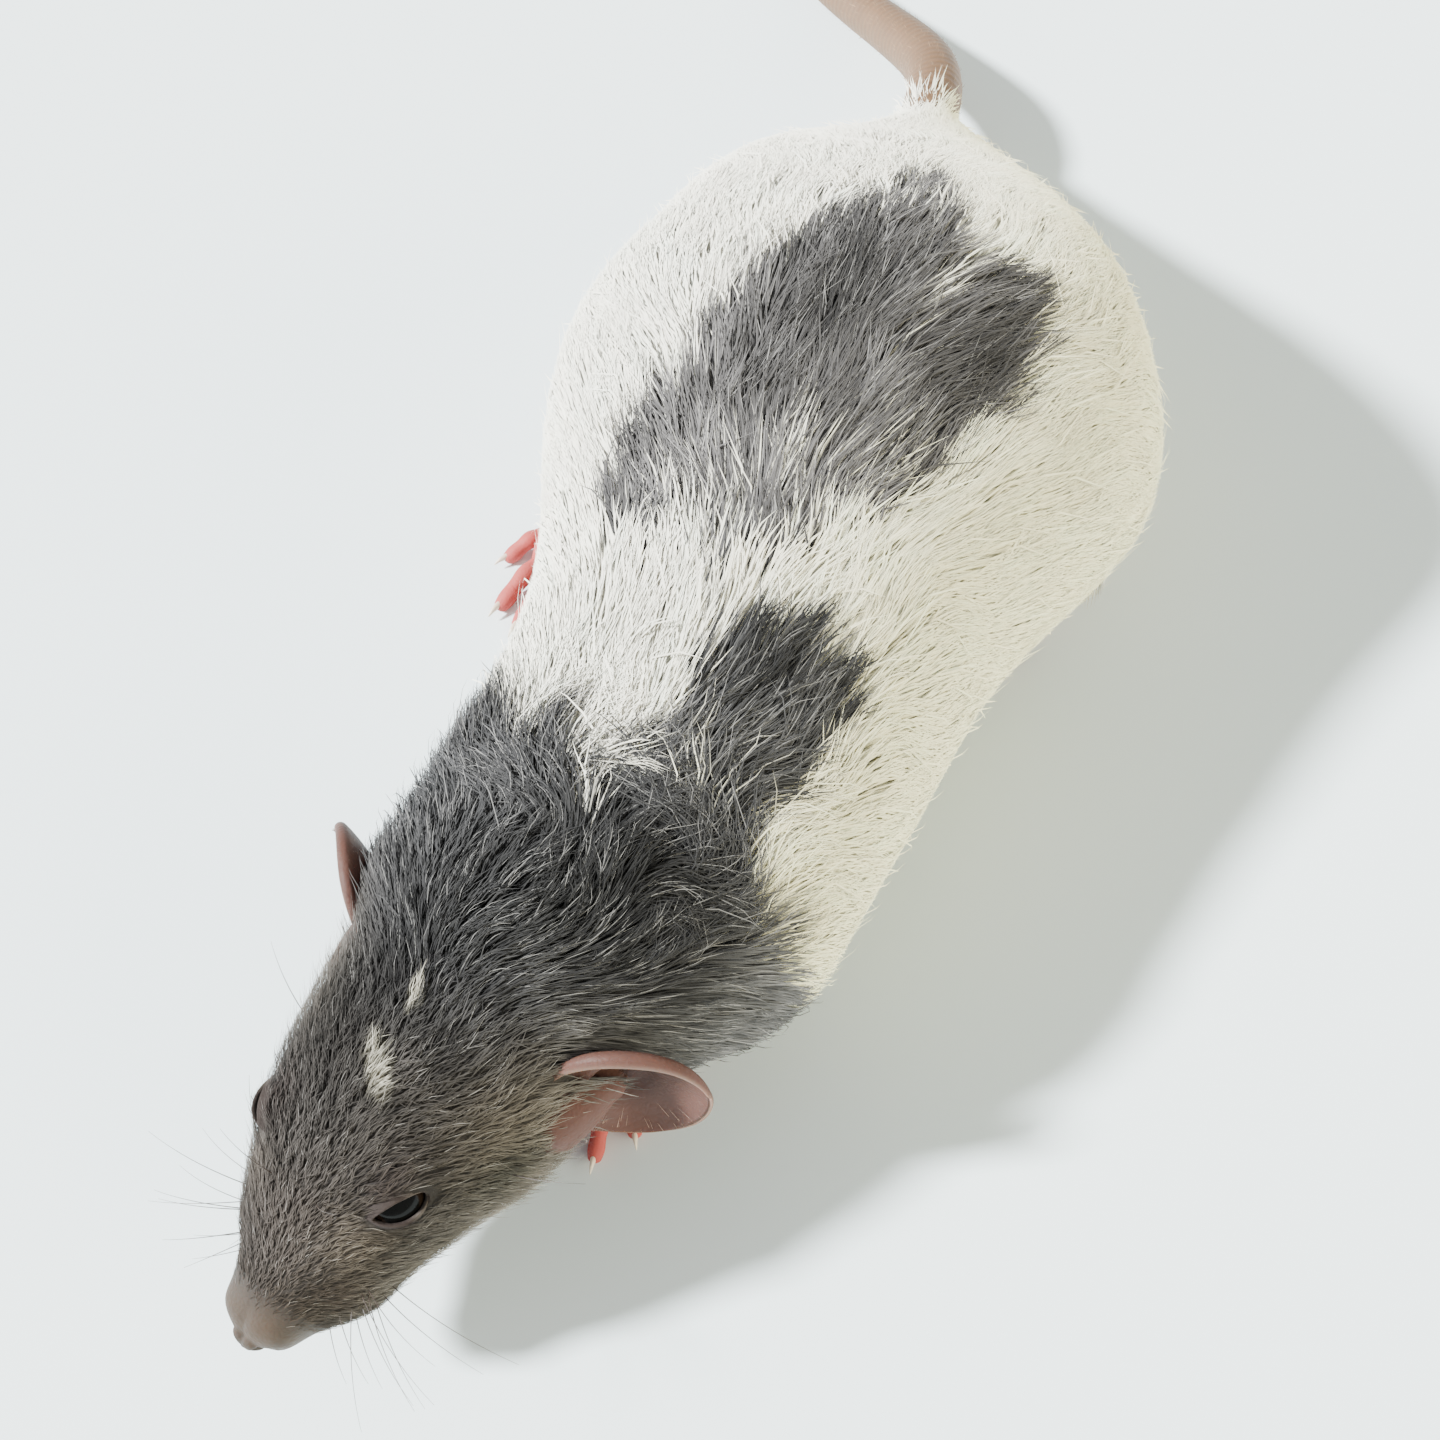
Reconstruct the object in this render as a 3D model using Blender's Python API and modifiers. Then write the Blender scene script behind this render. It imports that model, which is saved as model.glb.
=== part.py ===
"""Dumbo rat, life size, as a still model: its body parted where a person would name the parts.

The rat creeps forward with its head low. It faces -Y, its left side is +X and it stands on the
plane z = 0. Places on the animal are given as (along, side, height): along runs forward from a
point above the root of the tail, side runs to the animal's left, and height up from the ground.
Sizes are in metres and angles in degrees, and every outline reaches out to the tips of the coat.
"""

import math
from dataclasses import dataclass

import bmesh
import bpy
import numpy as np
from mathutils import Matrix, Vector

# Where the middle of the model's box lies on the animal, so that the origin is under it.
ORIGIN_ALONG = 0.0460
ORIGIN_SIDE = -0.0510

# Touching parts keep this much air between them.
GAP = 0.0003

# The head: a frame of its own, with its origin midway between the ears.
HEAD_ALONG = 0.1658
HEAD_SIDE = 0.0008
HEAD_HEIGHT = 0.0292
HEAD_YAW = -15.0
HEAD_PITCH = 8.8

# Sides of a body ring, its squareness, and sides of the small limbs and toes.
BODY_SIDES = 16
BODY_SQUARE = 2.2
LIMB_SIDES = 8
TOE_SIDES = 6

EYE_RADIUS = 0.0034
EYE_PLACE = (0.0200, 0.0084, 0.0052)
EYE_AIM = (0.20, 0.74, 0.64)
EYE_SLIT = (0.86, -0.48, 0.19)
LID_THICKNESS = 0.0008
LID_OPENING = (0.0031, 0.0020)

EAR_RADIUS = 0.0093
EAR_CENTRE = (-0.0020, 0.0213, 0.0000)
EAR_SWEEP = 40.0
EAR_DEPTH = 0.0036
EAR_THICKNESS = 0.0009
EAR_ROLL = 0.0016
EAR_RINGS = 6
EAR_SPOKES = 28

# Grooves of the mouth: points (forward, side, level) from corner to corner, and the split lip.
MOUTH_GROOVE = 0.00045
MOUTH_LINE = (
    (0.0245, -0.0078, -0.0082), (0.0290, -0.0060, -0.0100), (0.0323, -0.0032, -0.0112),
    (0.0336, 0.0000, -0.0115), (0.0323, 0.0032, -0.0112), (0.0290, 0.0060, -0.0100),
    (0.0245, 0.0078, -0.0082),
)
NOSTRIL_FROM = (0.0412, 0.0034, -0.0046)
NOSTRIL_TO = (0.0394, 0.0012, -0.0052)
NOSTRIL_RADII = (0.0008, 0.0005)
PAD_PLACE = (0.0310, 0.0046, -0.0050)
PAD_SIZE = (0.0068, 0.0042, 0.0046)
CHIN_PLACE = (0.0265, 0.0, -0.0098)
CHIN_SIZE = (0.0075, 0.0052, 0.0040)
LIP_SPLIT = ((0.0336, -0.0117), (0.0362, -0.0108), (0.0380, -0.0097))

# The hind legs: middle of the hips, how far out of it the thighs lie, the sections of the thigh
# from hip to knee and the top of the shank as (along, side out of the thigh, height, radius).
HIP_SIDE = 0.0085
THIGH_OUT = 0.0275
THIGH = (
    (0.0420, -0.0060, 0.0270, 0.0120), (0.0580, 0.0000, 0.0265, 0.0158),
    (0.0760, 0.0020, 0.0200, 0.0130),
)
SHANK_TOP = (0.0740, 0.0000, 0.0170, 0.0105)
HOCK_RADIUS = 0.0062
LEFT_HEEL = (0.0470, 0.0300, 0.0085)
RIGHT_HEEL = (0.0615, -0.0285, 0.0085)
LEFT_FOOT_YAW = 5.0
RIGHT_FOOT_YAW = -11.0

# The forelegs: middle of the shoulders, and shoulder and elbow as (distance ahead of the wrist,
# side out of that middle, height, radius).
SHOULDER_SIDE = 0.0060
SHOULDER = (-0.0130, 0.0165, 0.0270, 0.0098)
ELBOW = (-0.0190, 0.0170, 0.0165, 0.0085)
FOREARM_RADII = (0.0078, 0.0046)
LEFT_WRIST = (0.1535, 0.0100, 0.0070)
RIGHT_WRIST = (0.1405, -0.0060, 0.0070)
LEFT_PAW_YAW = 2.0
RIGHT_PAW_YAW = -12.0

# Sections of a sole: distance ahead of the heel or wrist, half width, half height. The soles sink
# a little below the ground, where they are cut flat: their middle lies FOOT_SINK half heights up.
HIND_SOLE = (
    (-0.0040, 0.0022, 0.0028), (-0.0010, 0.0038, 0.0042), (0.0060, 0.0040, 0.0044),
    (0.0140, 0.0046, 0.0038), (0.0210, 0.0054, 0.0033), (0.0250, 0.0044, 0.0025),
)
FORE_SOLE = (
    (-0.0035, 0.0024, 0.0034), (0.0000, 0.0036, 0.0042), (0.0045, 0.0042, 0.0034),
    (0.0085, 0.0040, 0.0026), (0.0105, 0.0028, 0.0020),
)
FOOT_SINK = 0.80
SOLE_SQUARE = 2.4
CLAW_SIDES = 4

# Toes: distance ahead, side (positive is inward), spread inward, length and radius.
HIND_TOES = (
    (0.0165, 0.0042, 24.0, 0.0080, 0.0014), (0.0225, 0.0034, 9.0, 0.0120, 0.0015),
    (0.0235, 0.0008, 2.0, 0.0130, 0.0015), (0.0230, -0.0020, -7.0, 0.0120, 0.0015),
    (0.0190, -0.0046, -26.0, 0.0085, 0.0014),
)
FORE_TOES = (
    (0.0065, 0.0030, 26.0, 0.0062, 0.0012), (0.0085, 0.0012, 8.0, 0.0076, 0.0012),
    (0.0085, -0.0012, -8.0, 0.0076, 0.0012), (0.0062, -0.0031, -28.0, 0.0060, 0.0012),
)

TAIL_LENGTH = 0.190
TAIL_NODES = 5
TAIL_ROOT = (-0.0130, -0.0062, 0.0152)
TAIL_RADIUS_ROOT = 0.0052
TAIL_RADIUS_TIP = 0.0009
TAIL_HEADING_ROOT = 6.0
TAIL_HEADING_BEND = 34.0
TAIL_BEND = 0.030
TAIL_HEADING_END = 84.0
TAIL_LANDING = 0.068
TAIL_RINGS = 9
TAIL_SIDES = 12

# Colours (linear RGB), roughness and metallic of each finish.
FINISHES = {
    "fur_grey": ((0.075, 0.072, 0.072), 0.85, 0.0),
    "fur_white": ((0.72, 0.69, 0.60), 0.85, 0.0),
    "skin_pink": ((0.56, 0.27, 0.23), 0.55, 0.0),
    "skin_tail": ((0.50, 0.34, 0.25), 0.60, 0.0),
    "eye_black": ((0.010, 0.008, 0.008), 0.08, 0.0),
}

# Finish of each kind of part; the head, neck and chest wear the grey hood.
FINISH_OF = {
    "loin": "fur_white",
    "hindleg": "fur_white",
    "foreleg": "fur_grey",
    "hindfoot": "skin_pink",
    "forepaw": "skin_pink",
    "ear": "skin_pink",
    "nose": "skin_pink",
    "tail": "skin_tail",
    "eye": "eye_black",
}


@dataclass(frozen=True)
class Ring:
    """One cross-section of the body, upright across the spine unless it is turned.

    Attributes:
        along, side, height: centre of the ring, at the level where it is widest.
        half_width: from the centre out to either flank.
        up, down: from the centre to the back and to the belly.
        yaw: turn of the spine to the animal's left, in degrees.
        pitch: drop of the spine towards the nose, in degrees.
    """

    along: float
    side: float
    height: float
    half_width: float
    up: float
    down: float
    yaw: float = 0.0
    pitch: float = 0.0


@dataclass(frozen=True)
class HeadRing:
    """One cross-section of the head, in the head's own frame."""

    forward: float
    level: float
    half_width: float
    up: float
    down: float


# From the root of the tail to the nape.
TRUNK = (
    Ring(-0.0150, -0.0062, 0.0150, 0.0056, 0.0050, 0.0054, yaw=18.0),
    Ring(-0.0110, -0.0060, 0.0152, 0.0082, 0.0066, 0.0074, yaw=18.0),
    Ring(-0.0020, -0.0052, 0.0165, 0.0160, 0.0102, 0.0105, yaw=12.0),
    Ring(0.0100, -0.0022, 0.0190, 0.0248, 0.0157, 0.0135, yaw=6.0),
    Ring(0.0240, 0.0034, 0.0215, 0.0338, 0.0232, 0.0165),
    Ring(0.0380, 0.0070, 0.0230, 0.0388, 0.0305, 0.0182),
    Ring(0.0540, 0.0105, 0.0245, 0.0418, 0.0370, 0.0197),
    Ring(0.0700, 0.0104, 0.0250, 0.0434, 0.0395, 0.0202),
    Ring(0.0880, 0.0092, 0.0250, 0.0378, 0.0382, 0.0202),
    Ring(0.1040, 0.0104, 0.0250, 0.0318, 0.0340, 0.0198),
    Ring(0.1200, 0.0112, 0.0255, 0.0292, 0.0270, 0.0185),
    Ring(0.1350, 0.0095, 0.0265, 0.0290, 0.0205, 0.0180, yaw=-3.0),
    Ring(0.1480, 0.0075, 0.0275, 0.0278, 0.0170, 0.0175, yaw=-9.0, pitch=3.0),
)

# From the nape to the tip of the nose.
HEAD = (
    HeadRing(-0.0080, -0.0005, 0.0232, 0.0152, 0.0165),
    HeadRing(0.0000, 0.0000, 0.0192, 0.0148, 0.0160),
    HeadRing(0.0080, 0.0000, 0.0184, 0.0140, 0.0155),
    HeadRing(0.0160, -0.0002, 0.0160, 0.0125, 0.0142),
    HeadRing(0.0225, -0.0008, 0.0136, 0.0108, 0.0124),
    HeadRing(0.0285, -0.0020, 0.0110, 0.0090, 0.0102),
    HeadRing(0.0335, -0.0034, 0.0084, 0.0074, 0.0082),
    HeadRing(0.0376, -0.0044, 0.0060, 0.0056, 0.0060),
    HeadRing(0.0408, -0.0048, 0.0042, 0.0038, 0.0042),
    HeadRing(0.0424, -0.0050, 0.0022, 0.0020, 0.0022),
)

# Cuts across the trunk (along) and the head (forward), from tail to nose.
TRUNK_CUTS = (("rump", None, 0.0440), ("loin", 0.0440, 0.1000), ("chest", 0.1000, 0.1440))
NAPE_CUT = -0.0095
NOSE_CUT = 0.0384


def at(along, side, height):
    """The point (along, side, height) of the animal in the model's frame."""
    return Vector((side - ORIGIN_SIDE, ORIGIN_ALONG - along, height))


def heading(yaw, pitch=0.0):
    """Rows: forward, left and up of a frame turned by yaw and dropped by pitch, in the model's frame."""
    y, p = math.radians(yaw), math.radians(pitch)
    forward = Vector((math.sin(y) * math.cos(p), -math.cos(y) * math.cos(p), -math.sin(p)))
    left = Vector((math.cos(y), math.sin(y), 0.0))
    return forward, left, forward.cross(left).normalized()


def head_point(forward, side, level):
    """A point of the head's own frame in the model's frame."""
    f, s, u = heading(HEAD_YAW, HEAD_PITCH)
    return at(HEAD_ALONG, HEAD_SIDE, HEAD_HEIGHT) + f * forward + s * side + u * level


def head_vector(forward, side, level):
    """A direction of the head's own frame in the model's frame, of length one."""
    return (head_point(forward, side, level) - head_point(0.0, 0.0, 0.0)).normalized()


def clear_scene():
    """Remove every object, so that the model is built in an empty scene."""
    for obj in list(bpy.data.objects):
        bpy.data.objects.remove(obj, do_unlink=True)


def collection(name):
    """A collection of that name, linked to the scene."""
    found = bpy.data.collections.get(name)
    if found is None:
        found = bpy.data.collections.new(name)
        bpy.context.scene.collection.children.link(found)
    return found


def material(name):
    """A Principled material of one of the finishes."""
    found = bpy.data.materials.get(name)
    if found is None:
        colour, roughness, metallic = FINISHES[name]
        found = bpy.data.materials.new(name)
        found.use_nodes = True
        shader = found.node_tree.nodes["Principled BSDF"]
        shader.inputs["Base Color"].default_value = (*colour, 1.0)
        shader.inputs["Roughness"].default_value = roughness
        shader.inputs["Metallic"].default_value = metallic
    return found


def new_object(name, verts, faces):
    """A mesh object from points and faces, its faces turned outwards."""
    mesh = bpy.data.meshes.new(name)
    mesh.from_pydata([tuple(v) for v in verts], [], faces)
    work = bmesh.new()
    work.from_mesh(mesh)
    bmesh.ops.recalc_face_normals(work, faces=work.faces)
    work.to_mesh(mesh)
    work.free()
    obj = bpy.data.objects.new(name, mesh)
    collection("work").objects.link(obj)
    return obj


def applied(obj):
    """The object with its modifiers applied."""
    depsgraph = bpy.context.evaluated_depsgraph_get()
    mesh = bpy.data.meshes.new_from_object(obj.evaluated_get(depsgraph))
    obj.modifiers.clear()
    obj.data = mesh
    return obj


def smooth(obj, levels):
    """The cage rounded off by Subdivision Surface, applied."""
    modifier = obj.modifiers.new("Round", "SUBSURF")
    modifier.levels = levels
    modifier.render_levels = levels
    return applied(obj)


def lofted(name, rings, levels):
    """A closed body through rings of points, each ring lying on the rounded surface.

    The cage is worked out backwards: a Subdivision Surface point is a sixth of its neighbours plus
    two thirds of its own cage point, round each ring and from ring to ring.
    """
    rings = np.asarray(rings, dtype=float)
    count, sides = rings.shape[:2]
    if levels:
        around = np.eye(sides) * 4 / 6
        for k in range(sides):
            around[k, (k + 1) % sides] += 1 / 6
            around[k, (k - 1) % sides] += 1 / 6
        length = np.eye(count)
        for k in range(1, count - 1):
            length[k, k - 1:k + 2] = (1 / 6, 4 / 6, 1 / 6)
        cage = np.einsum("ij,jkl->ikl", np.linalg.inv(length), rings)
        cage = np.einsum("ij,kjl->kil", np.linalg.inv(around), cage)
    else:
        cage = rings
    faces = []
    for i in range(count - 1):
        for j in range(sides):
            n = (j + 1) % sides
            faces.append((i * sides + j, i * sides + n, (i + 1) * sides + n, (i + 1) * sides + j))
    faces.append(tuple(range(sides)))
    faces.append(tuple((count - 1) * sides + j for j in range(sides)))
    obj = new_object(name, cage.reshape(-1, 3), faces)
    return smooth(obj, levels) if levels else obj


def oval(centre, left, up, half_width, rise, fall, sides, square=2.0):
    """Points of a superellipse about a centre, higher above it than below it where rise > fall."""
    points = []
    for k in range(sides):
        turn = 2 * math.pi * k / sides
        c, s = math.cos(turn), math.sin(turn)
        c = math.copysign(abs(c) ** (2 / square), c)
        s = math.copysign(abs(s) ** (2 / square), s)
        points.append(centre + left * half_width * c + up * (rise if s > 0 else fall) * s)
    return points


def body_rings(grow=0.0):
    """Every ring from the root of the tail to the tip of the nose, in the model's frame."""
    rings = []
    for r in TRUNK:
        _, left, up = heading(r.yaw, r.pitch)
        centre = at(r.along, r.side, r.height)
        rings.append(oval(centre, left, up, r.half_width + grow, r.up + grow, r.down + grow,
                          BODY_SIDES, BODY_SQUARE))
    _, left, up = heading(HEAD_YAW, HEAD_PITCH)
    for r in HEAD:
        centre = head_point(r.forward, 0.0, r.level)
        rings.append(oval(centre, left, up, r.half_width + grow, r.up + grow, r.down + grow,
                          BODY_SIDES, BODY_SQUARE))
    return rings


def whole_body(name, grow=0.0):
    """The trunk, neck and head as one closed body."""
    return lofted(name, body_rings(grow), levels=1)


def tube(name, points, radii, sides, flatten=1.0, levels=0):
    """A closed tapering body round a line of points, with rounded ends.

    Each ring stands across the line; flatten scales its height. A small ring past each end
    rounds it off.
    """
    points = [Vector(p) for p in points]
    first = (points[0] - points[1]).normalized()
    last = (points[-1] - points[-2]).normalized()
    points = [points[0] + first * radii[0] * 0.6] + points + [points[-1] + last * radii[-1] * 0.6]
    radii = [radii[0] * 0.55] + list(radii) + [radii[-1] * 0.55]
    rings = []
    for k, (point, radius) in enumerate(zip(points, radii)):
        ahead = points[min(k + 1, len(points) - 1)] - points[max(k - 1, 0)]
        across = ahead.cross(Vector((0, 0, 1)))
        if across.length < 0.05 * ahead.length:
            across = ahead.cross(Vector((0, 1, 0)))
        across.normalize()
        over = across.cross(ahead).normalized()
        rings.append(oval(point, across, over, radius, radius * flatten, radius * flatten, sides))
    return lofted(name, rings, levels)


def ball(name, centre, axes, size, segments=14, ring_count=9):
    """A sphere stretched to the three sizes along the three axes."""
    mesh = bpy.data.meshes.new(name)
    work = bmesh.new()
    bmesh.ops.create_uvsphere(work, u_segments=segments, v_segments=ring_count, radius=1.0)
    turn = Matrix((axes[0] * size[0], axes[1] * size[1], axes[2] * size[2])).transposed()
    bmesh.ops.transform(work, matrix=Matrix.Translation(centre) @ turn.to_4x4(), verts=work.verts)
    bmesh.ops.recalc_face_normals(work, faces=work.faces)
    work.to_mesh(mesh)
    work.free()
    obj = bpy.data.objects.new(name, mesh)
    collection("work").objects.link(obj)
    return obj


def block(name, centre, axes, size):
    """A box with the three full sizes along the three axes, used to cut other bodies."""
    mesh = bpy.data.meshes.new(name)
    work = bmesh.new()
    bmesh.ops.create_cube(work, size=1.0)
    turn = Matrix((axes[0] * size[0], axes[1] * size[1], axes[2] * size[2])).transposed()
    bmesh.ops.transform(work, matrix=Matrix.Translation(centre) @ turn.to_4x4(), verts=work.verts)
    bmesh.ops.recalc_face_normals(work, faces=work.faces)
    work.to_mesh(mesh)
    work.free()
    obj = bpy.data.objects.new(name, mesh)
    obj.hide_render = True
    obj.display_type = "WIRE"
    collection("cutters").objects.link(obj)
    return obj


def keep_largest(obj):
    """Leave only the largest closed surface of a mesh, by the volume it encloses."""
    work = bmesh.new()
    work.from_mesh(obj.data)
    unseen = set(work.faces)
    bodies = []
    while unseen:
        group = {unseen.pop()}
        front = list(group)
        while front:
            face = front.pop()
            for other in {f for edge in face.edges for f in edge.link_faces}:
                if other in unseen:
                    unseen.discard(other)
                    group.add(other)
                    front.append(other)
        bodies.append(group)
    bodies.sort(key=enclosed_volume)
    scraps = [face for group in bodies[:-1] for face in group]
    if scraps:
        bmesh.ops.delete(work, geom=scraps, context="FACES")
    work.to_mesh(obj.data)
    work.free()
    return obj


def enclosed_volume(faces):
    """Volume that a closed set of faces encloses: the sum of tetrahedra to the origin."""
    total = 0.0
    for face in faces:
        corners = [v.co for v in face.verts]
        for second, third in zip(corners[1:-1], corners[2:]):
            total += corners[0].dot(second.cross(third)) / 6
    return abs(total)


def combine(obj, others, operation):
    """Join, cut or trim a body by others with one Boolean, applied; the others are removed.

    The grooves and sockets are far smaller than the body, and the exact solver leaves cracks along
    them, so the manifold solver is used throughout.
    """
    if not others:
        return obj
    group = bpy.data.collections.new("operands")
    bpy.context.scene.collection.children.link(group)
    for other in others:
        group.objects.link(other)
    modifier = obj.modifiers.new(operation.title(), "BOOLEAN")
    modifier.operand_type = "COLLECTION"
    modifier.collection = group
    modifier.operation = operation
    modifier.solver = "MANIFOLD"
    applied(obj)
    for other in others:
        bpy.data.objects.remove(other, do_unlink=True)
    bpy.data.collections.remove(group)
    return keep_largest(obj)


def copied(obj, name):
    """A copy of a body under another name."""
    twin = bpy.data.objects.new(name, obj.data.copy())
    collection("work").objects.link(twin)
    return twin


def finish(obj, name, finish_name):
    """Name a finished body, dress it and put it among the model's parts."""
    obj.name = name
    obj.data.name = name
    obj.data.materials.clear()
    obj.data.materials.append(material(finish_name))
    for other in list(obj.users_collection):
        other.objects.unlink(obj)
    collection("dumbo_rat").objects.link(obj)
    obj.data.shade_smooth()
    return obj


def slab(name, origin, axes, start, end, reach=0.3):
    """A box across the animal between two places along its first axis, GAP / 2 clear of each."""
    low = -reach if start is None else start + GAP / 2
    high = reach if end is None else end - GAP / 2
    centre = origin + axes[0] * (low + high) / 2
    return block(name, centre, axes, (high - low, reach * 2, reach * 2))


def limb_points(places):
    """Points of the model's frame from (along, side, height) places."""
    return [at(*place) for place in places]


def hind_leg(name, sign, grow=0.0):
    """Thigh and shank of one hind leg, folded along the flank, grown by a clearance."""
    middle = HIP_SIDE + sign * THIGH_OUT
    places = [(along, middle + sign * out, height) for along, out, height, _ in THIGH]
    upper = tube(name, limb_points(places), [section[3] + grow for section in THIGH],
                 LIMB_SIDES, levels=1)
    along, out, height, radius = SHANK_TOP
    places = [(along, middle + sign * out, height), hind_heel(sign)]
    shank = tube(name + "_shank", limb_points(places), (radius + grow, HOCK_RADIUS + grow),
                 LIMB_SIDES, levels=1)
    return combine(upper, [shank], "UNION")


def hind_heel(sign):
    """Place of the heel of one hind foot, above the ground."""
    return LEFT_HEEL if sign > 0 else RIGHT_HEEL


def fore_leg(name, sign, grow=0.0):
    """Upper arm and forearm of one foreleg, from the shoulder down to the wrist."""
    wrist = fore_wrist(sign)
    shoulder, elbow = [(wrist[0] + ahead, SHOULDER_SIDE + sign * out, height)
                       for ahead, out, height, _ in (SHOULDER, ELBOW)]
    upper = tube(name, limb_points((shoulder, elbow)), (SHOULDER[3] + grow, ELBOW[3] + grow),
                 LIMB_SIDES, levels=1)
    fore = tube(name + "_forearm", limb_points((elbow, wrist)),
                [radius + grow for radius in FOREARM_RADII], LIMB_SIDES, levels=1)
    return combine(upper, [fore], "UNION")


def fore_wrist(sign):
    """Place of one wrist: the left paw is a step ahead of the right one."""
    return LEFT_WRIST if sign > 0 else RIGHT_WRIST


def foot(name, root, yaw, sign, sole, toes, grow=0.0):
    """A foot flat on the ground: a sole, its toes spread from the front of it, and their claws.

    Args:
        root: place of the heel or wrist, above the ground.
        yaw: direction in which the foot points, in degrees to the animal's left.
        sign: 1 for a left foot, -1 for a right one.
        sole: (distance from the root, half width, half height) of each section of the sole.
        toes: (distance, side, spread, length, radius) of each toe, the inner one first.
    """
    forward, left, up = heading(yaw)
    ground = Vector((root.x, root.y, 0.0))
    points = [ground + forward * d + up * h * FOOT_SINK for d, _, h in sole]
    rings = [oval(p, left, up, w + grow, h + grow, h + grow, LIMB_SIDES, SOLE_SQUARE)
             for p, (_, w, h) in zip(points, sole)]
    body = lofted(name, rings, levels=1)
    pieces = []
    for k, (distance, side, spread, length, radius) in enumerate(toes):
        toe_forward, _, _ = heading(yaw - sign * spread)
        base = ground + forward * distance - left * sign * side + up * radius * 1.5
        knuckle = base + toe_forward * length * 0.5 + up * radius * 0.35
        tip = base + toe_forward * length - up * radius * 0.75
        pieces.append(tube(f"{name}_toe_{k}", (base, knuckle, tip),
                           (radius + grow, radius * 0.95 + grow, radius * 0.8 + grow), TOE_SIDES))
        claw_end = tip + toe_forward * radius * 2.1 - up * radius * 0.1
        pieces.append(tube(f"{name}_claw_{k}", (tip, tip.lerp(claw_end, 0.6) + up * radius * 0.15,
                                                claw_end),
                           (radius * 0.55, radius * 0.42, radius * 0.12), CLAW_SIDES))
    joined = combine(body, pieces, "UNION")
    axes = (Vector((1, 0, 0)), Vector((0, 1, 0)), Vector((0, 0, 1)))
    below = block("below", ground - up * 0.05, axes, (0.2, 0.2, 0.1))
    return combine(joined, [below], "DIFFERENCE")


def build_ear(name, sign, grow=0.0):
    """One ear: a round, cupped flap standing out from the side of the head, open to the front.

    The flap is a dish on rings round its middle. Its rim is drawn in towards the root, its upper
    edge rolls forward, and Solidify gives it its thickness.
    """
    sweep = math.radians(EAR_SWEEP)
    out = head_vector(-math.sin(sweep), sign * math.cos(sweep), 0.10)
    up = head_vector(-0.22, 0.0, 1.0)
    up = (up - out * up.dot(out)).normalized()
    face = out.cross(up) if sign < 0 else up.cross(out)
    face = face if face.dot(head_vector(1.0, 0.0, 0.0)) > 0 else -face
    centre = head_point(EAR_CENTRE[0], sign * EAR_CENTRE[1], EAR_CENTRE[2])
    verts = [centre - face * EAR_DEPTH]
    for ring in range(1, EAR_RINGS + 1):
        share = ring / EAR_RINGS
        for k in range(EAR_SPOKES):
            turn = 2 * math.pi * k / EAR_SPOKES
            c, s = math.cos(turn), math.sin(turn)
            reach = EAR_RADIUS * (1.0 + 0.05 * c - 0.10 * max(-c, 0.0) + 0.03 * s)
            roll = EAR_ROLL * max(s, 0.0) ** 2 * share ** 4
            depth = EAR_DEPTH * (1.0 - share ** 2.2)
            verts.append(centre + out * reach * share * c + up * (reach * share * s - roll * 0.5)
                         - face * (depth - roll))
    faces = [(0, 1 + k, 1 + (k + 1) % EAR_SPOKES) for k in range(EAR_SPOKES)]
    for ring in range(EAR_RINGS - 1):
        for k in range(EAR_SPOKES):
            n = (k + 1) % EAR_SPOKES
            a = 1 + ring * EAR_SPOKES
            b = a + EAR_SPOKES
            faces.append((a + k, b + k, b + n, a + n))
    flap = new_object(name, verts, faces)
    modifier = flap.modifiers.new("Thickness", "SOLIDIFY")
    modifier.thickness = EAR_THICKNESS
    modifier.offset = 0.0
    applied(flap)
    work = bmesh.new()
    work.from_mesh(flap.data)
    bmesh.ops.recalc_face_normals(work, faces=work.faces)
    work.to_mesh(flap.data)
    work.free()
    stem_in = centre - out * EAR_RADIUS * 0.95 - face * EAR_DEPTH * 0.2
    stem_out = centre - out * EAR_RADIUS * 0.30 - face * EAR_DEPTH * 0.9
    stem = tube(name + "_stem", (stem_in, stem_out), (0.0052, 0.0034), LIMB_SIDES)
    return combine(flap, [stem], "UNION")


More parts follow.
